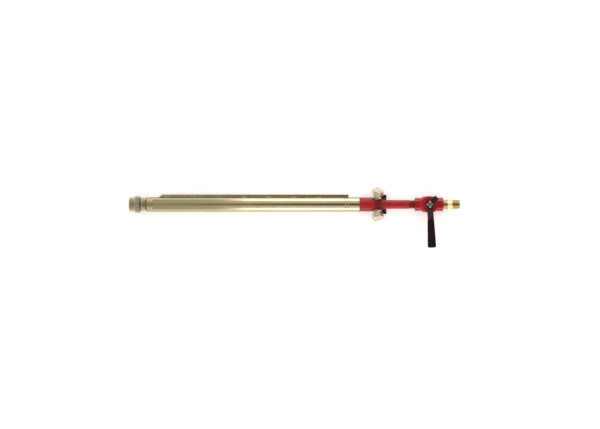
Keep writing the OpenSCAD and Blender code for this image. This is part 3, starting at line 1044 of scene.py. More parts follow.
@dataclass
class Barrel(Assembly):
    """Rolled barrel tube with its welded side rail."""

    wall: float = 1.5
    groove_depth: float = 0.8
    groove_half_width: float = 2.4 * 0.62
    groove_pitch: float = 7.0
    grooves_from_collar: float = 27.5
    grooves_from_outlet: float = 5.0
    fine_stretch: float = 45.0
    cuts_along: int = 560
    cuts_around: int = 97
    rail_sink: float = 0.5
    rail_edge: float = 0.55
    rail_slant: float = 1.3
    weld_run: float = 13.0
    weld_pitch: float = 60.0
    ripple: float = 0.85
    ripple_radius: float = 1.4
    bead_shape: tuple[float, float, float] = (0.6, 0.85, 0.85)
    bead_out: float = 0.35
    bead_up: float = 0.1

    def tube(self) -> bmesh.types.BMesh:
        """The tube as a grid wrapped round the axis: out along the outside and back along the bore.

        Returns:
            The mesh, in metres.
        """
        box = Span.of("barrel_tube")
        centres = [box.low.x + self.grooves_from_outlet + i * self.groove_pitch for i in range(2)]
        centres += [box.high.x - self.grooves_from_collar - i * self.groove_pitch for i in range(2)]
        sizes = {
            "Start": box.low.x * MM,
            "Length": box.length * MM,
            "Radius": box.high.z * MM,
            "Wall": self.wall * MM,
            "Fine stretch": self.fine_stretch * MM,
            "Groove depth": self.groove_depth * MM,
            "Groove half width": self.groove_half_width * MM,
        }
        sizes |= {f"Groove {i}": centre * MM for i, centre in enumerate(centres)}
        maker = Maker("rolled_tube", sizes)
        inputs = {"Size X": 1.0, "Size Y": 1.0, "Vertices X": self.cuts_along, "Vertices Y": self.cuts_around}
        grid = maker.node("GeometryNodeMeshGrid", None, inputs)
        place = maker.node("GeometryNodeInputPosition")
        along = maker.coordinate(place, 0) + 0.5
        around = (maker.coordinate(place, 1) + 0.5) * FULL_TURN
        # A little over 1, so that the two middle columns both reach the far end.
        there = ((1.0 - abs(along * 2.0 - 1.0)) * 1.004).math("MINIMUM", 1.0)
        # The grid is spent on the grooved stretches at both ends.
        fine, length = maker.size("Fine stretch"), maker.size("Length")
        run = there.between(0.0, 0.4) * fine + there.between(0.6, 1.0) * fine
        x = run + there.between(0.4, 0.6) * (length - fine * 2.0) + maker.size("Start")
        radius = maker.size("Radius") - maker.size("Wall") * (1.0 - (along < 0.5))
        for i in range(len(centres)):
            off = (x - maker.size(f"Groove {i}")) / maker.size("Groove half width")
            dip = (1.0 - off * off).math("MAXIMUM", 0.0)
            radius = radius - dip * dip.math("SQRT") * maker.size("Groove depth")
        wrapped = maker.vector(x, radius * around.math("COSINE"), radius * around.math("SINE"))
        moved = maker.node("GeometryNodeSetPosition", None, {"Geometry": grid, "Position": wrapped})
        whole = maker.node("GeometryNodeMergeByDistance", None, {"Geometry": moved, "Distance": 1e-6})
        made = maker.result(whole, Finish.ZINC)
        bmesh.ops.recalc_face_normals(made, faces=made.faces)
        return made

    def rail(self) -> bmesh.types.BMesh:
        """The bar, with its slanted end and broken edges.

        Returns:
            The mesh, in metres.
        """
        box = Span.of("side_rail")
        radius = Span.of("barrel_tube").high.z
        foot = radius - self.rail_sink
        slant = (box.high.y - radius) * self.rail_slant
        side = [(box.low.x, foot), (box.low.x, radius), (box.low.x + slant, box.high.y)]
        side += [(box.high.x, box.high.y), (box.high.x, foot)]
        made = bmesh.new()
        corners = [made.verts.new(Vector((x, y, box.low.z)) * MM) for x, y in side]
        face = made.faces.new(corners)
        extruded = bmesh.ops.extrude_face_region(made, geom=[face])["geom"]
        lifted = [v for v in extruded if isinstance(v, bmesh.types.BMVert)]
        bmesh.ops.translate(made, verts=lifted, vec=Vector((0, 0, (box.high.z - box.low.z) * MM)))
        bmesh.ops.recalc_face_normals(made, faces=made.faces)
        edge = self.rail_edge * MM
        bmesh.ops.bevel(made, geom=list(made.edges), offset=edge, segments=3, profile=0.5, affect="EDGES")
        return made

    def welds(self) -> bmesh.types.BMesh:
        """Stitch welds along both sides of the rail, as rows of overlapping ripples.

        Returns:
            The mesh, in metres.
        """
        box = Span.of("side_rail")
        radius = Span.of("barrel_tube").high.z
        sizes = {
            "Start": (box.low.x + self.weld_pitch / 4) * MM,
            "Ripple": self.ripple * MM,
            "Run": self.weld_run * MM,
            "Pitch": self.weld_pitch * MM,
            "Side": (box.high.z + self.bead_out) * MM,
            "Height": (math.sqrt(radius**2 - box.high.z**2) + self.bead_up) * MM,
            "Radius": self.ripple_radius * MM,
        }
        maker = Maker("stitch_welds", sizes)
        count = int((box.length - self.weld_pitch / 2) / self.ripple)
        index = maker.node("GeometryNodeInputIndex")
        bead = maker.node("GeometryNodeMeshIcoSphere", None, {"Radius": 1.0, "Subdivisions": 3})
        sides = []
        for side in (-1.0, 1.0):
            line = maker.node("GeometryNodeMeshLine", None, {"Count": count})
            along = index * maker.size("Ripple")
            spot = maker.vector(along + maker.size("Start"), maker.size("Height"), maker.size("Side") * side)
            placed = maker.node("GeometryNodeSetPosition", None, {"Geometry": line, "Position": spot})
            inputs = {2: 0.9, 3: 1.1, "Seed": int(side) + 5}
            swell = maker.node("FunctionNodeRandomValue", {"data_type": "FLOAT"}, inputs, 1)
            size = maker.size("Radius") * swell
            inputs = {
                "Points": placed,
                "Selection": (along % maker.size("Pitch")) < maker.size("Run"),
                "Instance": bead,
                "Scale": maker.vector(*(size * share for share in self.bead_shape)),
            }
            sides.append(maker.node("GeometryNodeInstanceOnPoints", None, inputs))
        return maker.result(maker.joined(*sides), Finish.ZINC)

    def make(self) -> None:
        """Makes the barrel's pieces."""
        self.add("barrel_skin", self.tube(), Finish.ZINC, ["barrel_tube"])
        self.add("rail_bar", self.rail(), Finish.RAIL, ["side_rail"])
        self.add("rail_welds", self.welds(), Finish.ZINC)
        self.dress(Finish.RUBBER, "outlet_o_ring", "collar_o_ring", "pipe_o_ring", "body_o_ring")


@dataclass
class Outlet(Assembly):
    """Bush that closes the barrel's outlet end."""

    neck: float = 10.0
    flange: float = 4.6
    neck_radius: float = 15.2
    thread_radius: float = 14.0
    thread_pitch: float = 2.0
    thread_depth: float = 1.1
    bore: float = 9.0
    flat_width: float = 4.6
    flat_offset: float = 2.4
    flat_depth: float = 1.4

    def bush(self) -> bmesh.types.BMesh:
        """The bush with its thread, flange, flatted neck and spigot.

        Returns:
            The mesh, in metres.
        """
        box, tube = Span.of("outlet_bush"), Span.of("barrel_tube")
        spigot = tube.high.z - Barrel.wall - FIT
        x_neck = tube.low.x
        x_flange = x_neck - self.neck
        x_seat = x_flange - self.flange
        flat = x_flange + self.flat_offset
        outline = [
            Turn(box.low.x, self.bore, 0.4),
            Turn(box.low.x, self.thread_radius - 1.2, 0.0, Form.THREADED),
            Turn(box.low.x + 1.2, self.thread_radius, 0.0, Form.THREADED),
            Turn(x_seat - 1.5, self.thread_radius),
            Turn(x_seat - 1.2, self.thread_radius - self.thread_depth),
            Turn(x_seat, self.thread_radius - self.thread_depth),
            Turn(x_seat, box.high.y, 0.6),
            Turn(x_flange, box.high.y, 0.6),
            Turn(x_flange, self.neck_radius, 0.4, Form.FLATTED),
            Turn(x_neck - 0.6, self.neck_radius, 0.2),
            Turn(x_neck - 0.2, spigot),
            Turn(box.high.x, spigot, 0.8),
            Turn(box.high.x, self.bore, 0.4),
        ]
        laws = {
            Form.THREADED: thread(self.thread_radius, self.thread_pitch, self.thread_depth),
            Form.FLATTED: two_flats(self.neck_radius - self.flat_depth, flat, flat + self.flat_width),
        }
        return turned(outline, laws, segments=128)

    def make(self) -> None:
        """Makes the outlet's pieces."""
        self.add("outlet_bush_turned", self.bush(), Finish.BRONZE, ["outlet_bush"])


@dataclass
class RoseCap(Assembly):
    """Screw-on cap with its fluted rim."""

    body: str = "rose_cap"
    wall_radius: float = 16.7
    edge: float = 4.5
    mouth: float = 12.0
    end_wall: float = 3.0
    thread_radius: float = 14.05
    rim: float = 10.5
    slope: float = 3.0
    flute_count: int = 30
    cutter: float = 1.3
    bite: float = 0.8

    def shell(self) -> bmesh.types.BMesh:
        """The cap, with flutes round its rim.

        Returns:
            The mesh, in metres.
        """
        box = Span.of("rose_cap")
        rim_radius = box.high.z
        start, end = box.low.x, box.high.x
        outline = [
            Turn(start, self.mouth, 0.7),
            Turn(start, self.wall_radius, self.edge),
            Turn(end - self.rim - self.slope, self.wall_radius, 0.5, Form.FLUTED),
            Turn(end - self.rim, rim_radius, 0.6, Form.FLUTED),
            Turn(end - 1.0, rim_radius, 0.4, Form.FLUTED),
            Turn(end, rim_radius - 1.0, 0.3),
            Turn(end, self.thread_radius + 0.6, 0.3),
            Turn(end - 0.8, self.thread_radius),
            Turn(start + self.end_wall, self.thread_radius),
            Turn(start + self.end_wall, self.mouth, 0.3),
        ]
        laws = {Form.FLUTED: flutes(self.flute_count, rim_radius, self.cutter, self.bite)}
        return turned(outline, laws, segments=360)

    def make(self) -> None:
        """Makes the cap."""
        self.add("rose_cap_fluted", self.shell(), Finish.BRONZE, ["rose_cap"], sharp=50.0)


@dataclass
class RoseInsert(Assembly):
    """Perforated disc, its nozzle rims and its gasket."""

    body: str = "rose_insert"
    jet_radius: float = 0.9
    jet_pitch: float = 3.4
    jet_rings: int = 3
    rim: float = 0.28

    def nozzles(self) -> bmesh.types.BMesh:
        """A raised rim round each jet hole, ring by ring.

        Returns:
            The mesh, in metres.
        """
        box = Span.of("rose_disc")
        sizes = {
            "Face": box.low.x * MM,
            "Ring pitch": self.jet_pitch * MM,
            "Jet radius": (self.jet_radius + self.rim) * MM,
            "Rim": self.rim * MM,
        }
        maker = Maker("nozzle_rims", sizes)
        circle = maker.node("GeometryNodeCurvePrimitiveCircle", {"mode": "RADIUS"},
                            {"Resolution": 24, "Radius": maker.size("Jet radius")})
        wire = maker.node("GeometryNodeCurvePrimitiveCircle", {"mode": "RADIUS"},
                          {"Resolution": 8, "Radius": maker.size("Rim")})
        bead = maker.node("GeometryNodeCurveToMesh", None, {"Curve": circle, "Profile Curve": wire})
        index = maker.node("GeometryNodeInputIndex")
        parts = []
        for ring in range(self.jet_rings + 1):
            count = max(6 * ring, 1)
            line = maker.node("GeometryNodeMeshLine", None, {"Count": count})
            angle = index * (FULL_TURN / count)
            reach = maker.size("Ring pitch") * float(ring)
            spot = maker.vector(maker.size("Face"), reach * angle.math("SINE") * -1.0,
                                reach * angle.math("COSINE"))
            placed = maker.node("GeometryNodeSetPosition", None, {"Geometry": line, "Position": spot})
            inputs = {"Points": placed, "Instance": bead, "Rotation": (0.0, math.pi / 2, 0.0)}
            parts.append(maker.node("GeometryNodeInstanceOnPoints", None, inputs))
        return maker.result(maker.joined(*parts), Finish.ROSE_STEEL)

    def make(self) -> None:
        """Makes the insert's pieces."""
        self.add("rose_nozzle_rims", self.nozzles(), Finish.ROSE_STEEL)
        self.dress(Finish.ROSE_STEEL, "rose_disc")
        self.dress(Finish.RUBBER, "rose_gasket")


@dataclass
class Collar(Assembly):
    """Red collar with its bosses, plated ports and lock screws."""

    step_height: float = 0.15
    nose: float = 12.0
    cone: float = 5.0
    sleeve: float = 12.0
    nose_radius: float = 14.0
    sleeve_radius: float = 13.0
    socket_radius: float = 10.7
    socket_extra: float = 4.5
    passage: float = 8.0
    port_back: float = 18.6
    port_tilt: float = 60.0
    port_lean: float = 15.0
    boss_radius: float = 7.4
    stub_radius: float = 6.3
    stub_bore: float = 3.5
    stub_start: float = 10.99
    stub_pitch: float = 1.5
    stub_thread: float = 0.75
    cap_start: float = 26.5
    cap_length: float = 14.0
    cap_flats: float = 24.0
    cap_clock: float = 17.0
    lock_offset: float = 5.2
    lock_seat: float = 13.4
    washer: float = 1.6
    washer_rise: float = 0.3
    washer_turns: float = 0.955
    head_radius: float = 6.5
    head_height: float = 8.0
    head_ridges: int = 44
    ridge_depth: float = 0.28
    shank_radius: float = 4.0
    shank_pitch: float = 1.25
    shank_thread: float = 0.7
    key_flats: float = 6.0
    key_depth: float = 4.0

    def __post_init__(self) -> None:
        """Places the collar's stations along the wand."""
        box = Span.of("port_collar")
        self.start, self.end = box.low.x, box.high.x
        self.step = Span.of("barrel_tube").high.x
        self.rear = self.end - self.sleeve
        self.outer = Span.of("barrel_tube").high.z + self.step_height

    def port(self, side: int) -> Matrix:
        """Place of a port's axis."""
        return standing(self.rear - self.port_back, -self.port_tilt * side, self.port_lean)

    def lock(self, side: int) -> Matrix:
        """Place of a lock screw's axis."""
        return standing(self.rear + self.lock_offset, -90.0 * side)

    def shell(self) -> bmesh.types.BMesh:
        """The turned collar with its four bosses.

        Returns:
            The mesh, in metres.
        """
        x_cone = self.rear - self.nose - self.cone
        spigot = self.outer - self.step_height - Barrel.wall - FIT
        outline = [
            Turn(self.start, self.passage, 0.4),
            Turn(self.start, spigot, 0.8),
            Turn(self.step, spigot),
            Turn(self.step, self.outer, 0.8),
            Turn(x_cone, self.outer, 0.7),
            Turn(self.rear - self.nose, self.nose_radius, 0.9),
            Turn(self.rear, self.nose_radius, 0.5),
            Turn(self.rear + 0.2, self.sleeve_radius, 0.5),
            Turn(self.end, self.sleeve_radius, 0.8),
            Turn(self.end, self.socket_radius, 0.4),
            Turn(self.rear - self.socket_extra, self.socket_radius),
            Turn(self.rear - self.socket_extra, self.passage),
        ]
        parts = [turned(outline, segments=128)]
        for side in (-1, 1):
            boss = [
                Turn(self.passage + 2.0, self.stub_radius + FIT),
                Turn(self.passage + 2.0, self.boss_radius),
                Turn(self.outer - 2.2, self.boss_radius + 1.0, 1.2),
                Turn(self.outer, self.boss_radius, 0.5),
                Turn(self.outer, self.stub_radius + FIT, 0.2),
            ]
            parts.append(turned(boss, at=self.port(side), segments=64))
            seat = [
                Turn(self.socket_radius + 0.5, self.shank_radius + FIT),
                Turn(self.socket_radius + 0.5, self.head_radius - 0.4),
                Turn(self.lock_seat, self.head_radius - 0.4, 0.3),
                Turn(self.lock_seat, self.shank_radius + FIT),
            ]
            parts.append(turned(seat, at=self.lock(side), segments=64))
        return merged(parts)

    def stub(self, side: int) -> bmesh.types.BMesh:
        """The threaded neck of one port.

        Args:
            side: 1 for the upper port's side, -1 for the lower's.

        Returns:
            The mesh, in metres.
        """
        end = self.cap_start + 2.0
        outline = [
            Turn(self.stub_start, self.stub_bore),
            Turn(self.stub_start, self.stub_radius - 0.2),
            Turn(self.outer + 0.6, self.stub_radius - 0.2, 0.2),
            Turn(self.outer + 1.0, self.stub_radius, 0.0, Form.THREADED),
            Turn(end, self.stub_radius),
            Turn(end, self.stub_bore),
        ]
        laws = {Form.THREADED: thread(self.stub_radius, self.stub_pitch, self.stub_thread)}
        return turned(outline, laws, self.port(side), 72)

    def cap(self, side: int) -> bmesh.types.BMesh:
        """The hexagon cap of one port.

        Args:
            side: 1 for the upper port's side, -1 for the lower's.

        Returns:
            The mesh, in metres.
        """
        start, end = self.cap_start, self.cap_start + self.cap_length
        corner = corner_radius(6, self.cap_flats) - 0.12
        face = self.cap_flats / 2 - 0.35
        outline = [
            Turn(end - 0.35, 0.0),
            Turn(end - 0.35, face - 2.6, 0.3),
            Turn(end, face - 2.0, 0.4),
            Turn(end, face, 0.3, Form.FACETED),
            Turn(end - 1.2, corner, 0.0, Form.FACETED),
            Turn(start + 1.2, corner, 0.0, Form.FACETED),
            Turn(start, face, 0.3),
            Turn(start, self.stub_radius + 0.3, 0.3),
            Turn(start + 1.5, self.stub_radius + FIT),
            Turn(start + 1.6, 0.0),
        ]
        laws = {Form.FACETED: polygon(6, self.cap_flats, 60.0 + self.cap_clock * side)}
        return turned(outline, laws, self.port(side), 144)

    def lock_screw(self, side: int) -> bmesh.types.BMesh:
        """Socket-head screw with a knurled head.

        Args:
            side: 1 for the upper port's side, -1 for the lower's.

        Returns:
            The mesh, in metres.
        """
        seat = self.lock_seat + self.washer
        top = seat + self.head_height
        key = corner_radius(6, self.key_flats)
        laws = {
            Form.KNURLED: knurl(self.head_ridges, self.ridge_depth),
            Form.KEYED: polygon(6, self.key_flats, step=0.5),
            Form.THREADED: thread(self.shank_radius, self.shank_pitch, self.shank_thread),
        }
        outline = [
            Turn(top - self.key_depth - 0.8, 0.0),
            Turn(top - self.key_depth, key - 0.6, 0.0, Form.KEYED),
            Turn(top - self.key_depth, key, 0.0, Form.KEYED),
            Turn(top - 0.3, key, 0.0, Form.KEYED),
            Turn(top, key + 0.3, 0.15),
            Turn(top, self.head_radius - 0.7, 0.35),
            Turn(top - 0.7, self.head_radius, 0.0, Form.KNURLED),
            Turn(seat + 0.5, self.head_radius, 0.0, Form.KNURLED),
            Turn(seat, self.head_radius - 0.4, 0.2),
            Turn(seat, self.shank_radius - 0.1, 0.1, Form.THREADED),
            Turn(self.socket_radius, self.shank_radius - 0.1),
            Turn(self.socket_radius, 0.0),
        ]
        return turned(outline, laws, self.lock(side), 176)

    def spring_washer(self, side: int) -> bmesh.types.BMesh:
        """Split washer: a square bar swept round one open turn that rises slightly.

        Args:
            side: 1 for the upper port's side, -1 for the lower's.

        Returns:
            The mesh, in metres.
        """
        sizes = {
            "Mean radius": (self.shank_radius + self.head_radius) / 2 * MM,
            "Width": (self.head_radius - self.shank_radius - 0.8) * MM,
            "Thickness": (self.washer - 0.35) * MM,
            "Rise": self.washer_rise * MM,
            "Turns": self.washer_turns,
        }
        maker = Maker("spring_washer", sizes)
        inputs = {
            "Resolution": 64,
            "Rotations": maker.size("Turns"),
            "Start Radius": maker.size("Mean radius"),
            "End Radius": maker.size("Mean radius"),
            "Height": maker.size("Rise"),
        }
        coil = maker.node("GeometryNodeCurveSpiral", None, inputs)
        upright = maker.node("GeometryNodeSetCurveNormal", {"mode": "Z_UP"}, {0: coil})
        inputs = {"Width": maker.size("Width"), "Height": maker.size("Thickness")}
        bar = maker.node("GeometryNodeCurvePrimitiveQuadrilateral", None, inputs)
        inputs = {"Curve": upright, "Profile Curve": bar, "Fill Caps": True}
        made = maker.result(maker.node("GeometryNodeCurveToMesh", None, inputs), Finish.BLACK_OXIDE)
        lift = Matrix.Translation((0, 0, self.lock_seat + (self.washer - self.washer_rise) / 2))
        place = self.lock(side) @ UP_FROM_AXIS.inverted() @ lift
        place.translation *= MM
        bmesh.ops.transform(made, matrix=place, verts=made.verts)
        bmesh.ops.recalc_face_normals(made, faces=made.faces)
        return made

    def make(self) -> None:
        """Makes the collar's pieces."""
        self.add("collar_turned", self.shell(), Finish.RED, ["port_collar"])
        kinds = (
            ("port_neck", self.stub, Finish.PORT, "port_stub"),
            ("port_hex", self.cap, Finish.PORT, "port_cap"),
            ("lock_screw_head", self.lock_screw, Finish.BLACK_OXIDE, "lock_screw"),
            ("spring_washer", self.spring_washer, Finish.BLACK_OXIDE, "lock_washer"),
        )
        for side, word in ((1, "upper"), (-1, "lower")):
            for name, shape, finish, node in kinds:
                self.add(f"{name}_{word}", shape(side), finish, [f"{node}_{word}"])
        self.dress(Finish.RUBBER, "port_seal_upper", "port_seal_lower")


@dataclass
class InletPipe(Assembly):
    """Red pipe between the collar and the valve."""

    bore: float = 8.0
    radius: float = 10.65
    thread_radius: float = 10.2
    thread_shown: float = 11.5
    engaged: float = 11.5
    pitch: float = 1.814
    thread_depth: float = 0.55

    def pipe(self) -> bmesh.types.BMesh:
        """The pipe, with the thread that shows before the valve.

        Returns:
            The mesh, in metres.
        """
        box = Span.of("inlet_pipe")
        x_thread = box.high.x - self.engaged - self.thread_shown
        outline = [
            Turn(box.low.x, self.bore),
            Turn(box.low.x, self.radius),
            Turn(x_thread - 1.0, self.radius, 0.5),
            Turn(x_thread, self.thread_radius, 0.0, Form.THREADED),
            Turn(box.high.x, self.thread_radius),
            Turn(box.high.x, self.bore),
        ]
        laws = {Form.THREADED: thread(self.thread_radius, self.pitch, self.thread_depth)}
        return turned(outline, laws, segments=96)

    def make(self) -> None:
        """Makes the pipe."""
        self.add("inlet_pipe_drawn", self.pipe(), Finish.RED, ["inlet_pipe"])


@dataclass
class Valve(Assembly):
    """Ball valve's cast body, end piece, packing nut and inner pieces."""

    voxel: float = 0.42
    passes: int = 5
    nose_radius: float = 15.0
    split: float = 17.3
    shoulder: float = 18.3
    split_radius: float = 16.75
    thread_bore: float = 10.25
    thread_deep: float = 12.0
    passage: float = 8.0
    flats: float = 28.0
    nut_flats: float = 17.0
    stem_hole: float = 5.05
    gland_radius: float = 8.0

    def __post_init__(self) -> None:
        """Finds the stem's axis."""
        self.stem_x = Span.of("stem").mid.x

    def end_piece(self) -> bmesh.types.BMesh:
        """The screwed-in end with its hexagon.

        Returns:
            The mesh, in metres.
        """
        box = Span.of("valve_end_piece")
        shoulder = self.stem_x + self.shoulder
        corner = corner_radius(6, self.flats) - 0.1
        face = self.flats / 2 - 0.5
        outline = [
            Turn(box.low.x, self.passage),
            Turn(box.low.x, self.nose_radius),
            Turn(self.stem_x + self.split, self.nose_radius),
            Turn(self.stem_x + self.split, self.split_radius - 0.2, 0.3),
            Turn(self.stem_x + self.split + 1.2, self.split_radius - 0.9, 0.5),
            Turn(shoulder + 0.9, face + 0.8, 0.3, Form.FACETED),
            Turn(shoulder + 2.4, corner, 0.0, Form.FACETED),
            Turn(box.high.x - 1.6, corner, 0.0, Form.FACETED),
            Turn(box.high.x, face, 0.4),
            Turn(box.high.x, self.thread_bore + 0.5, 0.2),
            Turn(box.high.x - 0.6, self.thread_bore),
            Turn(box.high.x - self.thread_deep, self.thread_bore),
            Turn(box.high.x - self.thread_deep, self.passage),
        ]
        laws = {Form.FACETED: polygon(6, self.flats, 30.0)}
        return turned(outline, laws, segments=144)

    def packing_nut(self) -> bmesh.types.BMesh:
        """The gland nut round the stem.

        Returns:
            The mesh, in metres.
        """
        box = Span.of("packing_nut")
        seat = Span.of("valve_body").high.z + 0.2
        corner = corner_radius(6, self.nut_flats) - 0.08
        face = self.nut_flats / 2 - 0.25
        outline = [
            Turn(box.low.z, self.stem_hole),
            Turn(box.low.z, self.gland_radius),
            Turn(seat, self.gland_radius),
            Turn(seat, face, 0.2, Form.FACETED),
            Turn(seat + 0.9, corner, 0.0, Form.FACETED),
            Turn(box.high.z - 1.0, corner, 0.0, Form.FACETED),
            Turn(box.high.z, face, 0.2),
            Turn(box.high.z, self.stem_hole, 0.3),
        ]
        laws = {Form.FACETED: polygon(6, self.nut_flats)}
        return turned(outline, laws, standing(self.stem_x), 144)

    def make(self) -> None:
        """Makes the valve's pieces."""
        casting = softened("valve_body", self.voxel, self.passes)
        self.add("valve_casting", casting, Finish.RED, ["valve_body"], sharp=60.0)
        self.add("valve_end_turned", self.end_piece(), Finish.RED, ["valve_end_piece"])
        self.add("packing_nut_turned", self.packing_nut(), Finish.BRASS, ["packing_nut"])
        self.dress(Finish.PTFE, "seat_outlet_side", "seat_inlet_side", "thrust_washer", "packing_ring")
        self.dress(Finish.STEM, "stop_pins")


@dataclass
class Lever(Assembly):
    """Lever, its grip and nut, and the stem and ball that turn with it."""

    body: str = "lever"
    voxel: float = 0.36
    passes: int = 4
    grip_start: float = 36.0
    lean: float = 2.5
    width_near: float = 15.8
    width_tip: float = 20.8
    section: float = 2.6
    flatness: float = 0.55
    start_round: float = 1.4
    start_pinch: float = 0.6
    start_drop: float = 0.9
    tip_round: float = 5.0
    tip_taper: float = 2.4
    tip_height: float = 0.8
    tip_gap: float = 0.35
    ribs: int = 9
    ribs_from: float = 14.0
    rib_pitch: float = 3.2
    rib_height: float = 0.3
    skin: float = 0.02
    thinnest: float = 0.3
    cuts_along: int = 150
    cuts_around: int = 72
    nut_flats: float = 12.0
    stud: float = 3.05

    def half_sizes(self, reach: float, tip: float, half_height: float) -> tuple[float, float]:
        """Half width and half height of the grip, with its ribs and its rounded ends.

        Args:
            reach: Distance from the stem along the arm, in millimetres.
            tip: Where the grip ends.
            half_height: Half height of its plain stretch.

        Returns:
            The two sizes.
        """
        from_start, from_tip = reach - self.grip_start, tip - reach
        share = from_start / (tip - self.grip_start)
        half_width = (self.width_near + (self.width_tip - self.width_near) * share) / 2 - FIT
        start_edge = max(1 - from_start / self.start_round, 0.0) ** 2
        tip_arc = math.sqrt(max(1 - max(1 - from_tip / self.tip_round, 0.0) ** 2, 0.0))
        tip_slope = math.sqrt(max(1 - max(1 - from_tip / self.tip_taper, 0.0) ** 2, 0.0))
        half_width -= self.tip_round * (1 - tip_arc) + self.start_pinch * start_edge
        half_height -= self.start_drop * start_edge + (half_height - self.tip_height) * (1 - tip_slope)
        along_ribs = from_start - self.ribs_from
        if 0.0 <= along_ribs <= self.ribs * self.rib_pitch:
            half_height -= self.rib_height * (0.5 - 0.5 * math.cos(along_ribs / self.rib_pitch * FULL_TURN))
        return half_width, max(half_height, self.thinnest)

    def grip(self) -> bmesh.types.BMesh:
        """The dipped grip: rounded rectangles along the arm that close at both ends.

        Returns:
            The mesh, in metres.
        """
        box, stem = Span.of("lever_sleeve"), Span.of("stem")
        lean = math.radians(self.lean)
        tip = -box.low.y / math.cos(lean) - self.tip_gap
        turn = Matrix.Rotation(lean - math.pi / 2, 4, "Z")
        centre = Vector((stem.mid.x, 0.0, box.mid.z))
        power = 2.0 / self.section
        angle = FULL_TURN * np.arange(self.cuts_around) / self.cuts_around
        across = np.copysign(np.abs(np.cos(angle)) ** (power * self.flatness), np.cos(angle))
        up = np.copysign(np.abs(np.sin(angle)) ** power, np.sin(angle))
        made, rows = bmesh.new(), []
        for i in range(self.cuts_along + 1):
            reach = self.grip_start + (tip - self.grip_start) * i / self.cuts_along
            wide, high = self.half_sizes(reach, tip, (box.high.z - box.low.z) / 2 - self.skin)
            ring = [centre + turn @ Vector((reach, u * wide, v * high)) for u, v in zip(across, up)]
            rows.append([made.verts.new(point * MM) for point in ring])
        for first, second in zip(rows, rows[1:]):
            for j in range(self.cuts_around):
                k = (j + 1) % self.cuts_around
                made.faces.new((first[j], first[k], second[k], second[j]))
        for row in (rows[0], rows[-1]):
            bmesh.ops.contextual_create(made, geom=row)
        bmesh.ops.recalc_face_normals(made, faces=made.faces)
        return made

    def nut(self) -> bmesh.types.BMesh:
        """The square nut on the stem.

        Returns:
            The mesh, in metres.
        """
        box = Span.of("lever_nut")
        corner = corner_radius(4, self.nut_flats) - 0.25
        face = self.nut_flats / 2 - 0.1
        outline = [
            Turn(box.low.z, self.stud),
            Turn(box.low.z, face + 1.2, 0.2, Form.FACETED),
            Turn(box.low.z + 0.6, corner, 0.0, Form.FACETED),
            Turn(box.high.z - 1.1, corner, 0.0, Form.FACETED),
            Turn(box.high.z, face, 0.3),
            Turn(box.high.z, self.stud + 0.5, 0.2),
            Turn(box.high.z - 0.6, self.stud),
        ]
        laws = {Form.FACETED: polygon(4, self.nut_flats, 45.0)}
        return turned(outline, laws, standing(Span.of("stem").mid.x), 144)

    def make(self) -> None:
        """Makes the lever's pieces."""
        pressing = softened("lever", self.voxel, self.passes)
        self.add("lever_pressing", pressing, Finish.LEVER, ["lever"], sharp=60.0)
        self.add("lever_grip", self.grip(), Finish.VINYL, ["lever_sleeve"], sharp=50.0)
        self.add("lever_nut_square", self.nut(), Finish.NUT, ["lever_nut"])
        self.dress(Finish.STEM, "stem")
        self.dress(Finish.BALL, "ball")


@dataclass
class HoseNipple(Assembly):
    """Brass nipple with the male hose thread."""

    hose_thread: float = 10.4775
    thread_length: float = 18.0
    hexagon: float = 12.0
    flats: float = 22.0
    bore: float = 7.5
    pipe_thread: float = 10.2
    pitch: float = 1.814
    thread_depth: float = 1.1

    def nipple(self) -> bmesh.types.BMesh:
        """The whole nipple, turned and threaded at both ends.

        Returns:
            The mesh, in metres.
        """
        box = Span.of("hose_nipple")
        major = self.hose_thread
        x_hex = box.high.x - self.thread_length
        x_bare = x_hex - self.hexagon
        corner = corner_radius(6, self.flats) - 0.1
        face = self.flats / 2 - 0.35
        outline = [
            Turn(box.high.x, self.bore + 0.8, 0.2),
            Turn(box.high.x, major - 1.3, 0.1, Form.THREADED),
            Turn(box.high.x - 1.3, major, 0.0, Form.THREADED),
            Turn(x_hex + 2.2, major, 0.0, Form.THREADED),
            Turn(x_hex + 1.6, major - 1.2, 0.2),
            Turn(x_hex, major - 1.2, 0.3),
            Turn(x_hex, face, 0.2, Form.FACETED),
            Turn(x_hex - 1.2, corner, 0.0, Form.FACETED),
            Turn(x_bare + 1.2, corner, 0.0, Form.FACETED),
            Turn(x_bare, face, 0.2),
            Turn(x_bare, self.pipe_thread - 0.8, 0.2),
            Turn(x_bare - 1.0, self.pipe_thread - 0.8, 0.2),
            Turn(x_bare - 1.6, self.pipe_thread, 0.0, Form.THREADED),
            Turn(box.low.x + 1.0, self.pipe_thread, 0.0, Form.THREADED),
            Turn(box.low.x, self.pipe_thread - 1.0),
            Turn(box.low.x, self.bore, 0.2),
            Turn(box.high.x - 0.8, self.bore),
        ]
        laws = {
            Form.THREADED: thread(major, self.pitch, self.thread_depth),
            Form.FACETED: polygon(6, self.flats),
        }
        return turned(outline, laws, segments=144)

    def make(self) -> None:
        """Makes the nipple."""
        self.add("hose_nipple_threaded", self.nipple(), Finish.BRASS, ["hose_nipple"])


# ---------------------------------------------------------------- studio


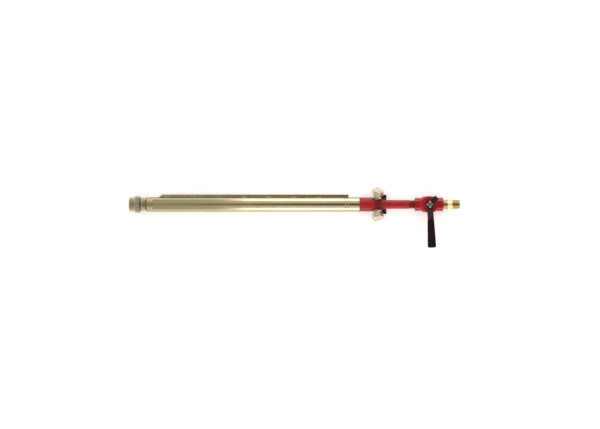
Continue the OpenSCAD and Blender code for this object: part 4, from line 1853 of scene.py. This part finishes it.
@dataclass
class Studio:
    """Pale floor, two standing light panels, soft fill and the camera straight above."""

    floor_half: float = 6.0
    view_width: float = 1.4277
    lens: float = 100.0
    sensor: float = 36.0
    centre: tuple[float, float] = (-0.380, -0.024)
    panel_ends: tuple[float, float] = (-0.56, 0.35)
    panel_height: float = 0.52
    panel_away: float = 0.85
    panel_glow: float = 1.25
    fill_size: float = 9.0
    fill_height: float = 5.0
    fill_glow: float = 0.98
    floor_gap: float = 0.0002
    floor_glow: float = 0.3
    strip_end: tuple[float, float] = (-0.03, -0.07)
    end_light: Colour = (0.50, 0.48, 0.38, 1)

    def floor(self) -> None:
        """The floor that the wand lies on."""
        surface = Surface("floor_white")
        tone = surface.noise(400.0, detail=2.0)
        surface.feed("Base Color", surface.mix(tone, (0.87, 0.87, 0.90, 1), (0.89, 0.89, 0.92, 1)))
        surface.fix(Roughness=0.9, Emission_Color=(1, 1, 1, 1), Emission_Strength=self.floor_glow)
        mesh = bpy.data.meshes.new("floor")
        half, height = self.floor_half, cad_box[0].z - self.floor_gap
        corners = [(x * half, y * half, height) for x, y in ((-1, -1), (1, -1), (1, 1), (-1, 1))]
        mesh.from_pydata(corners, [], [(0, 1, 2, 3)])
        mesh.materials.append(surface.material)
        linked("floor", mesh)

    def panel(
        self,
        name: str,
        place: Vector,
        turn: Matrix,
        size: tuple[float, float],
        glow: float,
    ) -> bpy.types.Object:
        """Adds a rectangular light.

        Args:
            name: Its name.
            place: Its centre.
            turn: Its turn from lying flat and shining down.
            size: Its width along X and its other side, in metres.
            glow: Its radiance.

        Returns:
            The light.
        """
        light = bpy.data.lights.new(name, "AREA")
        light.shape = "RECTANGLE"
        light.size, light.size_y = size
        light.energy = glow * math.pi * size[0] * size[1]
        lamp = linked(name, light)
        lamp.matrix_world = Matrix.Translation(place) @ turn
        lamp.visible_camera = False
        return lamp

    def lights(self) -> None:
        """A standing panel on each side for the bright bands, and a fill that metal does not mirror."""
        low, high = self.panel_ends
        for side, name in ((1, "rail_side_panel"), (-1, "lever_side_panel")):
            place = Vector(((low + high) / 2, side * self.panel_away, self.panel_height / 2))
            turn = Matrix.Rotation(math.radians(-90.0 * side), 4, "X")
            self.panel(name, place, turn, (high - low, self.panel_height), self.panel_glow)
        above = Vector((self.centre[0], 0.0, self.fill_height))
        size = (self.fill_size, self.fill_size)
        fill = self.panel("fill", above, Matrix.Identity(4), size, self.fill_glow)
        fill.visible_glossy = False

    def surroundings(self) -> None:
        """Room of soft light with a darker strip overhead, along the wand and short of its outlet end."""
        world = bpy.data.worlds.new("room")
        world.use_nodes = True
        bpy.context.scene.world = world
        tree = Tree(world.node_tree)
        way = tree.node("ShaderNodeTexCoord", out="Generated")
        side = abs(tree.coordinate(way, 1))
        along = tree.coordinate(way, 0)
        stops = [
            (0.0, (0.045, 0.04, 0.022, 1)),
            (0.19, (0.06, 0.055, 0.034, 1)),
            (0.34, (0.47, 0.46, 0.40, 1)),
            (0.57, (0.62, 0.61, 0.56, 1)),
            (1.0, (0.66, 0.66, 0.64, 1)),
        ]
        sky = tree.node("ShaderNodeValToRGB", {"stops": stops}, {0: side})
        light = tree.mix(along.between(*self.strip_end), sky, self.end_light)
        back = world.node_tree.nodes["Background"]
        tree.tree.links.new(light.socket, back.inputs["Color"])
        back.inputs["Strength"].default_value = 1.0

    def camera(self) -> None:
        """Camera that looks straight down, with the rail side up."""
        data = bpy.data.cameras.new("camera")
        data.lens, data.sensor_width = self.lens, self.sensor
        height = self.view_width * self.lens / self.sensor
        camera = linked("camera", data)
        camera.location = (self.centre[0], self.centre[1], height)
        bpy.context.scene.camera = camera

    def make(self) -> None:
        """Makes the studio."""
        self.camera()
        self.floor()
        self.surroundings()
        self.lights()
        view = bpy.context.scene.view_settings
        view.view_transform = "Standard"
        view.look = "None"


def main() -> None:
    """Builds the studio and the wand's sub-assemblies in order."""
    logging.basicConfig(level=logging.INFO, format="%(message)s")
    Studio().make()
    for kind in (Barrel, Outlet, RoseCap, RoseInsert, Collar, InletPipe, Valve, Lever, HoseNipple):
        kind().make()


if __name__ == "__main__":
    main()
